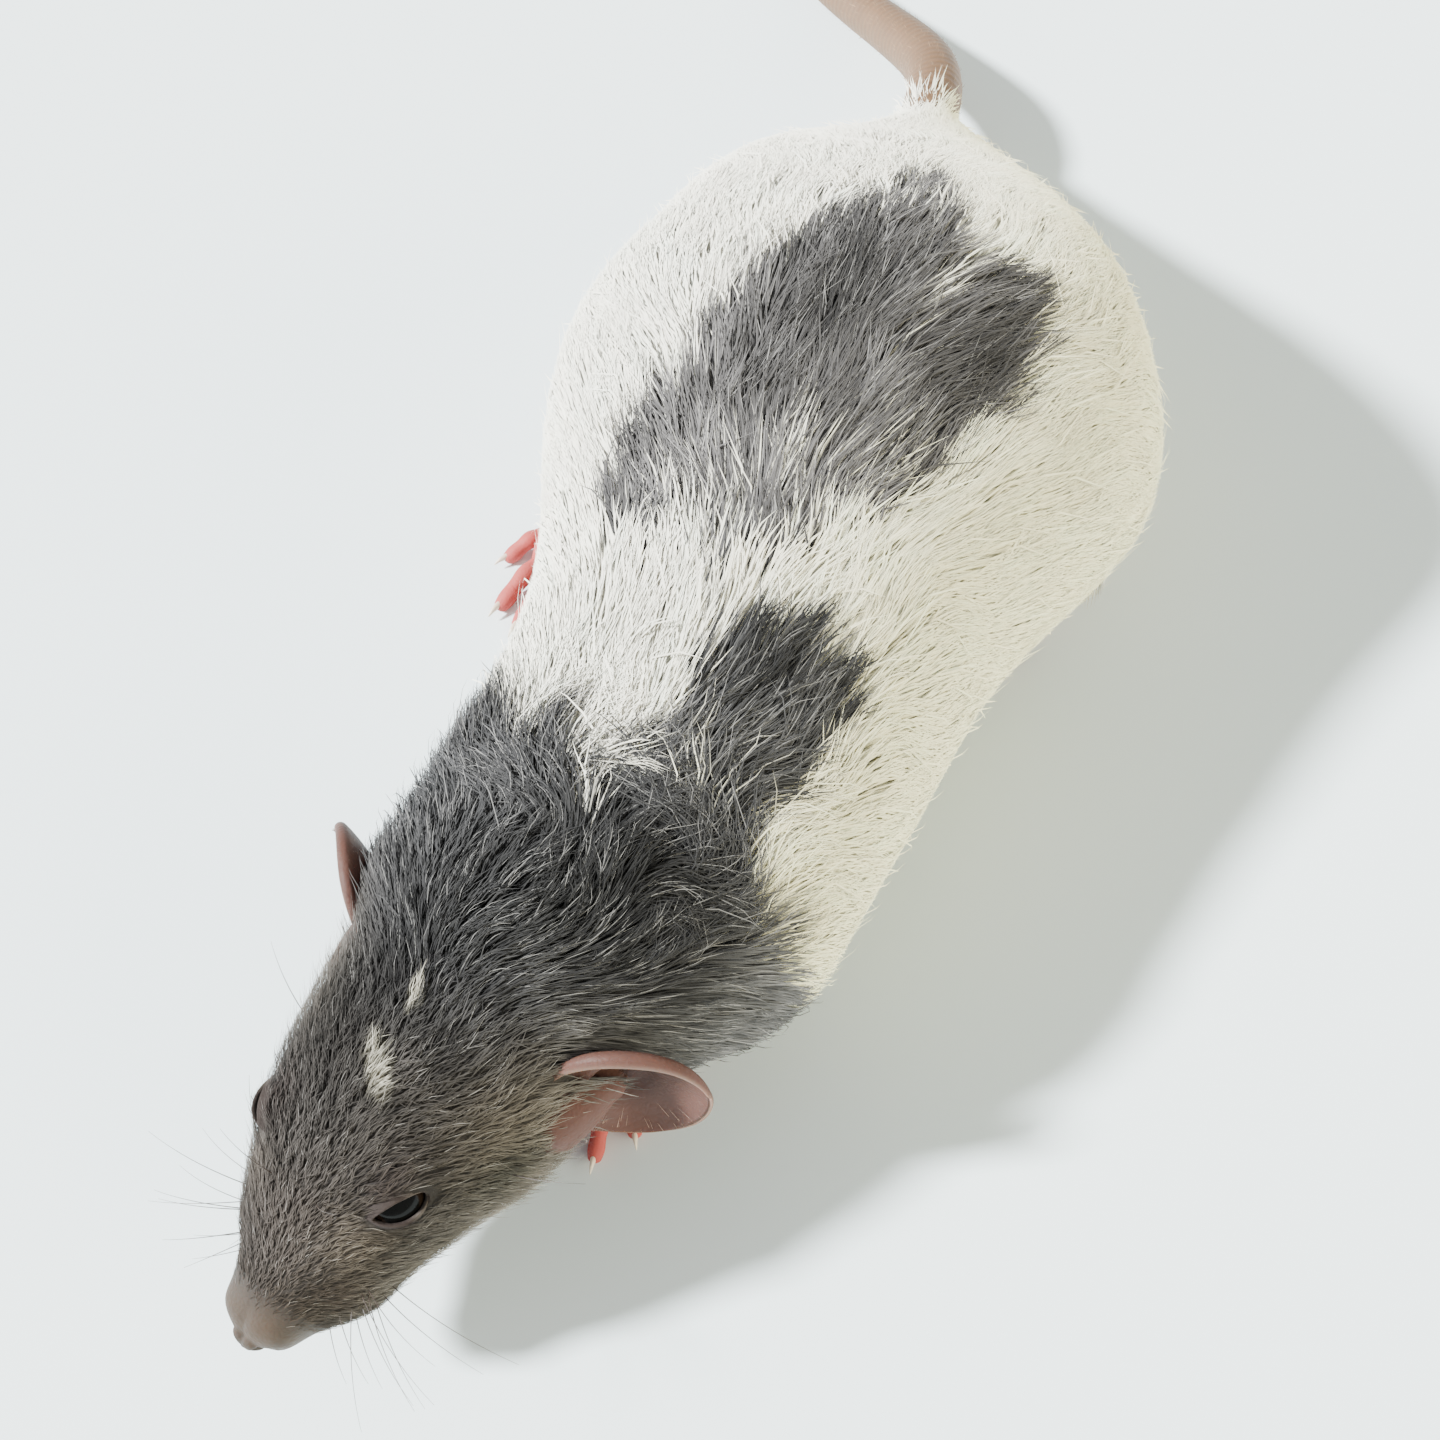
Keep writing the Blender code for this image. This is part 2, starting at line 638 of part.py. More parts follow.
def build_tail():
    """The tail in lengths: it drops to the ground behind the animal and sweeps to its right.

    The heading turns fast at first and then evenly to the end, and the height falls in a smooth step from
    the root's to the tail's own radius, where it lies on the ground.
    """
    count = TAIL_NODES * TAIL_RINGS
    step = TAIL_LENGTH / count
    a, s, _ = TAIL_ROOT
    points, radii = [], []
    for k in range(count + 1):
        share = k / count
        radius = TAIL_RADIUS_ROOT + (TAIL_RADIUS_TIP - TAIL_RADIUS_ROOT) * share ** 1.15
        fall = min(share * TAIL_LENGTH / TAIL_LANDING, 1.0)
        fall = fall * fall * (3 - 2 * fall)
        height = TAIL_ROOT[2] + (radius - TAIL_ROOT[2]) * fall
        points.append(at(a, s, height))
        radii.append(radius)
        bent = min(share * TAIL_LENGTH / TAIL_BEND, 1.0)
        bent = bent * bent * (3 - 2 * bent)
        turn = math.radians(TAIL_HEADING_ROOT + (TAIL_HEADING_BEND - TAIL_HEADING_ROOT) * bent
                            + (TAIL_HEADING_END - TAIL_HEADING_BEND) * share)
        a -= step * math.cos(turn)
        s -= step * math.sin(turn)
    tails = {}
    for n in range(TAIL_NODES):
        low, high = n * TAIL_RINGS, (n + 1) * TAIL_RINGS
        line = list(points[low:high + 1])
        if n:
            line[0] = line[0] + (line[1] - line[0]).normalized() * GAP
        rings = []
        for k, point in enumerate(line):
            i = low + k
            ahead = points[min(i + 1, count)] - points[max(i - 1, 0)]
            across = ahead.cross(Vector((0, 0, 1))).normalized()
            rings.append(oval(point, across, across.cross(ahead).normalized(), radii[i], radii[i],
                              radii[i], TAIL_SIDES))
        tails[f"tail_{n + 1}"] = lofted(f"tail_{n + 1}", rings, levels=0)
    return tails


def eye_frame(sign):
    """Centre and axes of one eye: outward, along the slit of the lids, and up across it."""
    centre = head_point(EYE_PLACE[0], sign * EYE_PLACE[1], EYE_PLACE[2])
    out = head_vector(EYE_AIM[0], sign * EYE_AIM[1], EYE_AIM[2])
    along = head_vector(EYE_SLIT[0], sign * EYE_SLIT[1], EYE_SLIT[2])
    along = (along - out * along.dot(out)).normalized()
    return centre, out, along, out.cross(along).normalized()


def lid_mounds():
    """The lids as balls round the eyeballs, to be joined to the head."""
    size = EYE_RADIUS + GAP + LID_THICKNESS
    mounds = []
    for sign in (1, -1):
        centre, out, along, across = eye_frame(sign)
        mounds.append(ball(f"lids_{sign}", centre, (along, across, out), (size, size, size)))
    return mounds


def eye_openings():
    """The sockets for the eyeballs and the almond openings of the lids over them."""
    size = EYE_RADIUS + GAP
    holes = []
    for sign in (1, -1):
        centre, out, along, across = eye_frame(sign)
        holes.append(ball(f"socket_{sign}", centre, (along, across, out), (size, size, size)))
        holes.append(ball(f"slit_{sign}", centre + out * EYE_RADIUS, (along, across, out),
                          (LID_OPENING[0], LID_OPENING[1], EYE_RADIUS)))
    return holes


def muzzle_pads():
    """The whisker pads on either side of the muzzle and the chin under it."""
    axes = heading(HEAD_YAW, HEAD_PITCH)
    pads = [ball(f"pad_{sign}", head_point(PAD_PLACE[0], sign * PAD_PLACE[1], PAD_PLACE[2]), axes,
                 PAD_SIZE) for sign in (1, -1)]
    return pads + [ball("chin", head_point(*CHIN_PLACE), axes, CHIN_SIZE)]


def muzzle_openings():
    """The line of the mouth, the split in the upper lip and the two nostrils."""
    mouth = [head_point(*place) for place in MOUTH_LINE]
    lip = [head_point(forward, 0.0, level) for forward, level in LIP_SPLIT]
    holes = [tube("mouth", mouth, [MOUTH_GROOVE] * len(mouth), 6),
             tube("lip", lip, [MOUTH_GROOVE * 0.8] * len(lip), 6)]
    for sign in (1, -1):
        places = [(NOSTRIL_FROM[0], sign * NOSTRIL_FROM[1], NOSTRIL_FROM[2]),
                  (NOSTRIL_TO[0], sign * NOSTRIL_TO[1], NOSTRIL_TO[2])]
        line = [head_point(*place) for place in places]
        holes.append(tube(f"nostril_{sign}", line, NOSTRIL_RADII, TOE_SIDES))
    return holes


def limb_pockets():
    """Room in the trunk for the legs and feet that are let into it."""
    pockets = []
    for sign in (1, -1):
        pockets.append(hind_leg("pocket", sign, GAP))
        pockets.append(fore_leg("pocket", sign, GAP))
        pockets.append(hind_foot("pocket", sign, (), GAP))
    return pockets


def build_body():
    """Rump, loin, chest, neck, head and nose: one body, shaped whole and parted by thin cuts."""
    body = combine(whole_body("body"), lid_mounds() + muzzle_pads(), "UNION")
    for openings in (eye_openings(), muzzle_openings(), limb_pockets()):
        body = combine(body, openings, "DIFFERENCE")
    trunk = heading(0.0)
    head = heading(HEAD_YAW, HEAD_PITCH)
    trunk_origin = at(0.0, 0.0, 0.0)
    head_origin = head_point(0.0, 0.0, 0.0)
    chest_end = TRUNK_CUTS[-1][2]
    blocks = {name: [slab("across", trunk_origin, trunk, start, end)]
              for name, start, end in TRUNK_CUTS}
    blocks["neck"] = [slab("across", trunk_origin, trunk, chest_end, None),
                      slab("across", head_origin, head, None, NAPE_CUT)]
    blocks["head"] = [slab("across", head_origin, head, NAPE_CUT, NOSE_CUT)]
    blocks["nose"] = [slab("across", head_origin, head, NOSE_CUT, None)]
    parts = {}
    for name, cutters in blocks.items():
        piece = copied(body, name)
        for cutter in cutters:
            piece = combine(piece, [cutter], "INTERSECT")
        parts[name] = piece
    bpy.data.objects.remove(body, do_unlink=True)
    return parts


def hind_foot(name, sign, toes, grow=0.0):
    """One hind foot, or its sole alone where toes is empty."""
    yaw = LEFT_FOOT_YAW if sign > 0 else RIGHT_FOOT_YAW
    return foot(name, at(*hind_heel(sign)), yaw, sign, HIND_SOLE, toes, grow)


def fore_paw(name, sign, toes, grow=0.0):
    """One forepaw, or its sole alone where toes is empty."""
    yaw = LEFT_PAW_YAW if sign > 0 else RIGHT_PAW_YAW
    return foot(name, at(*fore_wrist(sign)), yaw, sign, FORE_SOLE, toes, grow)


def build_limbs():
    """Four legs and four feet, which meet each other face to face."""
    limbs = {}
    for sign, side in ((1, "left"), (-1, "right")):
        limbs[f"hindfoot_{side}"] = hind_foot(f"hindfoot_{side}", sign, HIND_TOES)
        limbs[f"forepaw_{side}"] = fore_paw(f"forepaw_{side}", sign, FORE_TOES)
        limbs[f"hindleg_{side}"] = combine(hind_leg(f"hindleg_{side}", sign),
                                           [hind_foot("pocket", sign, (), GAP)], "DIFFERENCE")
        limbs[f"foreleg_{side}"] = combine(fore_leg(f"foreleg_{side}", sign),
                                           [fore_paw("pocket", sign, (), GAP)], "DIFFERENCE")
    return limbs


def main():
    """Build every part of the animal."""
    clear_scene()
    parts = build_body()
    parts.update(build_limbs())
    for sign, side in ((1, "left"), (-1, "right")):
        centre, out, along, across = eye_frame(sign)
        size = (EYE_RADIUS, EYE_RADIUS, EYE_RADIUS)
        parts[f"eye_{side}"] = ball(f"eye_{side}", centre, (along, across, out), size)
        ear = build_ear(f"ear_{side}", sign)
        parts[f"ear_{side}"] = combine(ear, [whole_body("pocket", GAP)], "DIFFERENCE")
    parts.update(build_tail())
    parts["tail_1"] = combine(parts["tail_1"], [whole_body("pocket", GAP)], "DIFFERENCE")
    for name, piece in parts.items():
        finish(piece, name, FINISH_OF.get(name.split("_")[0], "fur_grey"))


main()
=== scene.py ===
"""Dumbo rat: one skin, its coat, eyes, claws and whiskers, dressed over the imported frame.

The rat creeps forward with its head low. It faces -Y, its left side is +X and it stands on z = 0.
Places on the trunk are (along, side, height) in metres, as in the part's source, and places on the
head are (forward, side, level) in the head's own frame. Every surface is a function of two
parameters, so the skin, the markings and the roots of the hair all read the same chart.
"""

import sys

import logging
import math
from dataclasses import dataclass, field
from enum import Enum
from typing import Callable, Protocol, Sequence

import bpy
import numpy as np
from mathutils import Matrix


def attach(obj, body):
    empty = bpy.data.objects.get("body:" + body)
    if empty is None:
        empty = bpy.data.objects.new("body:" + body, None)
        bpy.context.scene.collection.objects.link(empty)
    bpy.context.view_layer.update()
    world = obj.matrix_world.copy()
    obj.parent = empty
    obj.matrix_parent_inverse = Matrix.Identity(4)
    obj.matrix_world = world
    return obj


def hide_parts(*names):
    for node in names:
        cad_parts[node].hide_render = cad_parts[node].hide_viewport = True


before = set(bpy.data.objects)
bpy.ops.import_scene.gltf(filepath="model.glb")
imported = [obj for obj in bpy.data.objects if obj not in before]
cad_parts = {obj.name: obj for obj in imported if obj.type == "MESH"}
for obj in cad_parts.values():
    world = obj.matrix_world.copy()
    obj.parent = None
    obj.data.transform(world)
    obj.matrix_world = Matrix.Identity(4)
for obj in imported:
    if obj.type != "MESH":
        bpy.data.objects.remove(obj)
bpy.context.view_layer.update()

LOG = logging.getLogger("dumbo_rat")

Array = np.ndarray
Triple = tuple[float, float, float]
Material, Mesh, Object, Socket = (bpy.types.Material, bpy.types.Mesh, bpy.types.Object,
                                  bpy.types.NodeSocket)

# The middle of the whole model's box, in places of the trunk.
ORIGIN_ALONG = 0.0460
ORIGIN_SIDE = -0.0510

# Squareness of the sections of the body.
BODY_SQUARE = 2.2

# A tuft's patch on the bake map.
PATCH = 0.003

# Sections of the trunk: along, side, height, half width, rise, fall, yaw, pitch, depth of coat.
TRUNK_SECTIONS = (
    (-0.0150, -0.0062, 0.0150, 0.0056, 0.0050, 0.0054, 18.0, 0.0, 0.0010),
    (-0.0110, -0.0060, 0.0152, 0.0082, 0.0066, 0.0074, 18.0, 0.0, 0.0020),
    (-0.0020, -0.0052, 0.0165, 0.0160, 0.0102, 0.0105, 12.0, 0.0, 0.0028),
    (0.0100, -0.0022, 0.0190, 0.0248, 0.0157, 0.0135, 6.0, 0.0, 0.0031),
    (0.0240, 0.0034, 0.0215, 0.0338, 0.0232, 0.0165, 0.0, 0.0, 0.0033),
    (0.0380, 0.0070, 0.0230, 0.0388, 0.0305, 0.0182, 0.0, 0.0, 0.0034),
    (0.0540, 0.0105, 0.0245, 0.0418, 0.0370, 0.0197, 0.0, 0.0, 0.0034),
    (0.0700, 0.0104, 0.0250, 0.0434, 0.0395, 0.0202, 0.0, 0.0, 0.0034),
    (0.0880, 0.0092, 0.0250, 0.0378, 0.0382, 0.0202, 0.0, 0.0, 0.0034),
    (0.1040, 0.0104, 0.0250, 0.0318, 0.0340, 0.0198, 0.0, 0.0, 0.0035),
    (0.1200, 0.0112, 0.0255, 0.0292, 0.0270, 0.0185, 0.0, 0.0, 0.0037),
    (0.1350, 0.0095, 0.0265, 0.0290, 0.0205, 0.0180, -3.0, 0.0, 0.0038),
    (0.1480, 0.0075, 0.0275, 0.0278, 0.0170, 0.0175, -9.0, 3.0, 0.0038),
)

# Sections of the head: forward, level, half width, rise, fall, depth of coat.
HEAD_SECTIONS = (
    (-0.0080, -0.0005, 0.0232, 0.0152, 0.0165, 0.0034),
    (0.0000, 0.0000, 0.0192, 0.0148, 0.0160, 0.0024),
    (0.0080, 0.0000, 0.0184, 0.0140, 0.0155, 0.0018),
    (0.0160, -0.0002, 0.0160, 0.0125, 0.0142, 0.0014),
    (0.0225, -0.0008, 0.0136, 0.0108, 0.0124, 0.0011),
    (0.0285, -0.0020, 0.0110, 0.0090, 0.0102, 0.0009),
    (0.0335, -0.0034, 0.0084, 0.0074, 0.0082, 0.0007),
    (0.0376, -0.0044, 0.0060, 0.0056, 0.0060, 0.0004),
    (0.0408, -0.0048, 0.0042, 0.0038, 0.0042, 0.0002),
    (0.0424, -0.0050, 0.0022, 0.0020, 0.0022, 0.0001),
)


def unit(vectors: Array) -> Array:
    """Vectors, along the last axis, scaled to length one."""
    return vectors / np.maximum(np.linalg.norm(vectors, axis=-1, keepdims=True), 1e-12)


def ease(x: Array) -> Array:
    """The smooth step 3x^2 - 2x^3 of x held between 0 and 1."""
    x = np.clip(x, 0.0, 1.0)
    return x * x * (3.0 - 2.0 * x)


def squared(v: Array, square: float | Array) -> tuple[Array, Array]:
    """Cosine and sine of v, each raised to 2 / square with its sign kept: a superellipse."""
    c, s = np.cos(v), np.sin(v)
    return np.sign(c) * np.abs(c) ** (2 / square), np.sign(s) * np.abs(s) ** (2 / square)


def circle(count: int) -> Array:
    """Angles evenly round a circle."""
    return np.linspace(0, 2 * math.pi, count, endpoint=False)


def mixed(first: Array, second: Array, share: Array) -> Array:
    """Colours or vectors mixed from the first towards the second by a share for each point."""
    return first * (1 - share[..., None]) + second * share[..., None]


def mirrored(local: Array) -> Array:
    """Places of the head, those on its right moved to the same place on its left."""
    return np.stack((local[..., 0], np.abs(local[..., 1]), local[..., 2]), -1)


def axes(yaw: float, pitch: float = 0.0) -> tuple[Array, Array, Array]:
    """Forward, left and up of a frame turned to the left by yaw and dropped by pitch.

    Args:
        yaw: degrees to the animal's left.
        pitch: degrees down.

    Returns:
        Three unit vectors of the model's frame.
    """
    y, p = math.radians(yaw), math.radians(pitch)
    forward = np.array((math.sin(y) * math.cos(p), -math.cos(y) * math.cos(p), -math.sin(p)))
    left = np.array((math.cos(y), math.sin(y), 0.0))
    return forward, left, np.cross(forward, left)


def place(along: float, side: float, height: float) -> Array:
    """The point (along, side, height) of the trunk in the model's frame."""
    return np.array((side - ORIGIN_SIDE, ORIGIN_ALONG - along, height))


@dataclass(frozen=True)
class HeadFrame:
    """The head's own frame, with its origin midway between the ears.

    Attributes:
        along, side, height: the origin, as a place on the trunk.
        yaw, pitch: degrees by which the head is turned to the left and dropped.
    """

    along: float = 0.1658
    side: float = 0.0008
    height: float = 0.0292
    yaw: float = -15.0
    pitch: float = 8.8

    def origin(self) -> Array:
        """The origin in the model's frame."""
        return place(self.along, self.side, self.height)

    def rows(self) -> Array:
        """Forward, left and up as the rows of a matrix."""
        return np.array(axes(self.yaw, self.pitch))

    def point(self, places: Array | Triple) -> Array:
        """Places (forward, side, level) as points of the model's frame."""
        return self.origin() + np.asarray(places, float) @ self.rows()

    def vector(self, directions: Array | Triple) -> Array:
        """Directions (forward, side, level) as unit vectors of the model's frame."""
        return unit(np.asarray(directions, float) @ self.rows())

    def local(self, points: Array) -> Array:
        """Points of the model's frame as places (forward, side, level)."""
        return (points - self.origin()) @ self.rows().T


HEAD = HeadFrame()


class Spline:
    """A smooth curve through equally spaced rows of numbers.

    It is a uniform cubic B-spline: each row is a sixth of its two neighbours' control rows plus two
    thirds of its own, and the control rows are solved for from that.
    """

    def __init__(self, rows: Array) -> None:
        """Solve for the control rows.

        Args:
            rows: one row of numbers for each of the parameters 0, 1, 2 and so on.
        """
        rows = np.asarray(rows, float)
        self.last = len(rows) - 1
        system = np.eye(len(rows))
        inner = np.arange(1, self.last)
        system[inner, inner] = 4 / 6
        system[inner, inner - 1] = 1 / 6
        system[inner, inner + 1] = 1 / 6
        control = np.linalg.solve(system, rows)
        before, after = 2 * control[0] - control[1], 2 * control[-1] - control[-2]
        self.control = np.vstack((before, control, after))

    def __call__(self, u: Array) -> Array:
        """Rows of numbers at the parameters u."""
        u = np.clip(u, 0.0, self.last)
        k = np.minimum(u.astype(int), self.last - 1)
        t = u - k
        weights = ((1 - t) ** 3, 3 * t ** 3 - 6 * t ** 2 + 4, -3 * t ** 3 + 3 * t ** 2 + 3 * t + 1, t ** 3)
        return sum(w[..., None] * self.control[k + j] for j, w in enumerate(weights)) / 6


@dataclass
class Ripple:
    """A smooth random field: the mean of a few sine waves of one length in random directions."""

    seed: int
    length: float
    count: int = 9

    def __call__(self, points: Array) -> Array:
        """The field, about -1 to 1, at points of the model's frame."""
        draw = np.random.default_rng(self.seed)
        turns = unit(draw.normal(size=(self.count, 3))) * (2 * math.pi / self.length)
        turns = turns * draw.uniform(0.6, 1.5, (self.count, 1))
        phases = draw.uniform(0, 2 * math.pi, self.count)
        return np.sin(points @ turns.T + phases).sum(-1) / math.sqrt(self.count / 2) / 1.6


class Chart(Protocol):
    """A surface given by two parameters and a lift off it, in metres."""

    def point(self, u: Array, v: Array, lift: Array | float) -> Array:
        """Points of the surface at (u, v), lifted off it."""

    def depth(self, u: Array, v: Array) -> Array:
        """Depth of the coat over the skin at (u, v)."""


@dataclass(frozen=True)
class Bump:
    """A soft swelling or hollow of the head, on both sides of it.

    Attributes:
        place: forward, side and level of its middle.
        size: how far it spreads along each of the three.
        height: how far it stands out, negative for a hollow.
    """

    place: Triple
    size: Triple
    height: float


FACE = (
    Bump((0.0310, 0.0068, -0.0056), (0.0052, 0.0036, 0.0040), 0.0016),
    Bump((0.0265, 0.0000, -0.0125), (0.0070, 0.0050, 0.0030), 0.0012),
    Bump((0.0352, 0.0072, -0.0010), (0.0022, 0.0030, 0.0030), -0.0008),
    Bump((0.0400, 0.0030, -0.0036), (0.0020, 0.0019, 0.0024), 0.0008),
    Bump((0.0422, 0.0000, -0.0040), (0.0030, 0.0007, 0.0040), -0.0004),
    Bump((0.0428, 0.0021, -0.0052), (0.0011, 0.0007, 0.0008), -0.0013),
    Bump((0.0424, 0.0034, -0.0044), (0.0011, 0.0009, 0.0005), -0.0008),
    Bump((0.0418, 0.0000, -0.0092), (0.0026, 0.0004, 0.0032), -0.0006),
    Bump((0.0190, 0.0112, 0.0085), (0.0060, 0.0032, 0.0026), 0.0005),
    Bump((0.0100, 0.0160, 0.0060), (0.0050, 0.0040, 0.0040), -0.0008),
    Bump((0.0080, 0.0175, -0.0060), (0.0080, 0.0050, 0.0060), 0.0008),
    Bump((0.0300, 0.0000, 0.0060), (0.0060, 0.0030, 0.0030), -0.0003),
)


@dataclass(frozen=True)
class EyeSocket:
    """Where the eyes sit and how the lids open round them.

    Attributes:
        place: forward, side and level of the eyeball's middle.
        aim: direction in which it looks.
        radius: of the eyeball.
        half_length, half_height: of the almond between the lids.
        slit: direction from the rear corner of the lids to the front corner.
        cover: thickness of the lids over the eyeball.
    """

    place: Triple = (0.0200, 0.0084, 0.0052)
    aim: Triple = (0.20, 0.74, 0.64)
    radius: float = 0.0034
    half_length: float = 0.0031
    half_height: float = 0.0014
    slit: Triple = (0.86, -0.48, 0.19)
    cover: float = 0.00045

    def frame(self, sign: int) -> tuple[Array, Array, Array, Array]:
        """Middle of one eyeball and its axes: outward, along the slit, and up across it.

        Args:
            sign: 1 for the left eye, -1 for the right.

        Returns:
            The middle and the three axes.
        """
        centre = HEAD.point((self.place[0], sign * self.place[1], self.place[2]))
        out = HEAD.vector((self.aim[0], sign * self.aim[1], self.aim[2]))
        along = HEAD.vector((self.slit[0], sign * self.slit[1], self.slit[2]))
        along = unit(along - out * (along @ out))
        across = np.cross(out, along)
        return centre, out, along, across if across[2] > 0 else -across

    def reach(self, points: Array) -> Array:
        """Distance of points from the line of sight of the nearer eye, over half lengths.

        The distance is measured in the plane of the lids, so 1 is the rim of the almond.

        Args:
            points: the points.

        Returns:
            The distance of each.
        """
        nearest = np.full(points.shape[:-1], np.inf)
        for sign in (1, -1):
            centre, out, along, across = self.frame(sign)
            offset = points - centre
            a, b = offset @ along / self.half_length, offset @ across / self.half_height
            far = (offset @ out) < -self.radius
            nearest = np.minimum(nearest, np.where(far, np.inf, np.hypot(a, b)))
        return nearest

    def mound(self, points: Array, lift: Array | float) -> Array:
        """How far points near an eye are pushed out, so that the lids lie over the eyeball.

        A point inside the ball of the eye and its lids is moved out to it; the step is rounded off
        as a hyperbola is at its bend.

        Args:
            points: the points.
            lift: how high the whole skin is lifted.

        Returns:
            The distance of each.
        """
        push = np.zeros(points.shape[:-1])
        for sign in (1, -1):
            centre, out, _, _ = self.frame(sign)
            offset = points - centre
            short = self.radius + self.cover + (lift + 0.0010) - np.linalg.norm(offset, axis=-1)
            rounded = (short + np.sqrt(short ** 2 + 0.0007 ** 2)) / 2
            near = ease((offset @ out) / 0.002 + 0.5)
            far = ease((0.0075 - np.linalg.norm(offset, axis=-1)) / 0.003)
            push = np.maximum(push, rounded * near * far)
        return push


EYES = EyeSocket()


@dataclass(frozen=True)
class MouthLine:
    """The line between the lips: a groove under the muzzle from corner to corner.

    Attributes:
        corner, front: forward places of its corners and its middle.
        corner_side: how far the corners lie from the middle plane.
        level, rise: level of its middle, and how far the corners lie above it.
        width, depth: of the groove.
    """

    corner: float = 0.0225
    front: float = 0.0372
    corner_side: float = 0.0092
    level: float = -0.0112
    rise: float = 0.0022
    width: float = 0.00055
    depth: float = 0.0009

    def groove(self, local: Array) -> Array:
        """Depth of the groove at places of the head.

        From above the line is half an ellipse, side against forward, and it climbs towards the
        corners with the square of the side.

        Args:
            local: the places.

        Returns:
            The depth at each.
        """
        share = np.clip(np.abs(local[..., 1]) / self.corner_side, 0.0, 1.2)
        line = self.corner + (self.front - self.corner) * np.sqrt(np.clip(1 - share ** 2, 0.0, 1.0))
        level = self.level + self.rise * share ** 2
        off = np.hypot((local[..., 0] - line) * 0.8, (local[..., 2] - level) * 1.3)
        return self.depth * np.exp(-(off / self.width) ** 2) * ease((1.12 - share) / 0.2)


MOUTH = MouthLine()


class BodyChart:
    """Trunk, neck and head as one surface: u runs from the tail's root to the nose, v round it.

    Each section is a superellipse: its left axis times the half width times cos v, plus its up axis
    times the rise (or the fall, below) times sin v, each raised to 2 / squareness. Past the last
    section the axes shrink with the cosine of the overshoot, which closes the nose. Before the
    first one u runs on over the tail, by TAIL_STEP each, and the sections grow by FLARE each.
    """

    NOSE_CAP = 0.0012
    TAIL_STEP = 0.0042
    TAIL_START = 0.0043
    FLARE = 0.0005

    def __init__(self) -> None:
        """Collect the sections in the model's frame and fit the spline through them."""
        rows = []
        for along, side, height, half, rise, fall, yaw, pitch, coat in TRUNK_SECTIONS:
            _, left, up = axes(yaw, pitch)
            rows.append(np.concatenate((place(along, side, height), left, up, (half, rise, fall, coat))))
        _, left, up = HEAD.rows()
        for forward, level, half, rise, fall, coat in HEAD_SECTIONS:
            centre = HEAD.point((forward, 0.0, level))
            rows.append(np.concatenate((centre, left, up, (half, rise, fall, coat))))
        self.spline = Spline(np.array(rows))
        self.last = float(self.spline.last)
        self.table_u = np.linspace(0.0, self.last, 1601)
        centres = self.spline(self.table_u)[:, :3]
        steps = np.linalg.norm(np.diff(centres, axis=0), axis=1)
        self.table_s = self.TAIL_START + np.concatenate(([0.0], np.cumsum(steps)))

    def arc(self, u: Array) -> Array:
        """Distance along the spine, which starts at TAIL_START at the tail's root."""
        return np.interp(u, self.table_u, self.table_s)

    def at_arc(self, s: Array) -> Array:
        """The parameter u at a distance along the spine."""
        return np.interp(s, self.table_s, self.table_u)

    def depth(self, u: Array, v: Array) -> Array:
        """Depth of the coat: the section's own, thinner under the belly."""
        coat = self.spline(u)[..., 12]
        return coat * (0.80 + 0.20 * ease(np.sin(v) + 0.6))

    def outline(self, u: Array, v: Array, lift: Array | float) -> Array:
        """Points of the plain sections, with their axes grown by lift.

        Args:
            u, v: parameters of the chart.
            lift: height over the skin.

        Returns:
            The points.
        """
        row = self.spline(np.minimum(u, self.last))
        cap = np.clip(u - self.last, 0.0, 1.0) * (math.pi / 2)
        c, s = (x * np.cos(cap) for x in squared(v, BODY_SQUARE))
        lift = lift + self.FLARE * np.minimum(-np.minimum(u, 0.0), 2.0)
        rise = np.where(s > 0, row[..., 10], row[..., 11]) + lift
        beyond = np.sin(cap) * self.NOSE_CAP + np.minimum(u, 0.0) * self.TAIL_STEP
        ahead = np.cross(row[..., 3:6], row[..., 6:9]) * beyond[..., None]
        width = (row[..., 9] + lift) * c
        return row[..., :3] + ahead + row[..., 3:6] * width[..., None] + row[..., 6:9] * (rise * s)[..., None]

    def point(self, u: Array, v: Array, lift: Array | float) -> Array:
        """Points lifted off the plain sections, with the forms of the face pushed out of them.

        Args:
            u, v: parameters of the chart.
            lift: height over the skin.

        Returns:
            The points.
        """
        base = self.outline(u, v, lift)
        local = HEAD.local(base)
        face = local[..., 0] > -0.012
        if not face.any():
            return base
        outward = unit(self.outline(u, v, lift + 0.002) - base)
        push = np.zeros(base.shape[:-1])
        for bump in FACE:
            far = ((mirrored(local) - np.array(bump.place)) / np.array(bump.size)) ** 2
            push += bump.height * np.exp(-far.sum(-1))
        push += EYES.mound(base, lift) - MOUTH.groove(local)
        return base + outward * (push * face)[..., None]


BODY = BodyChart()


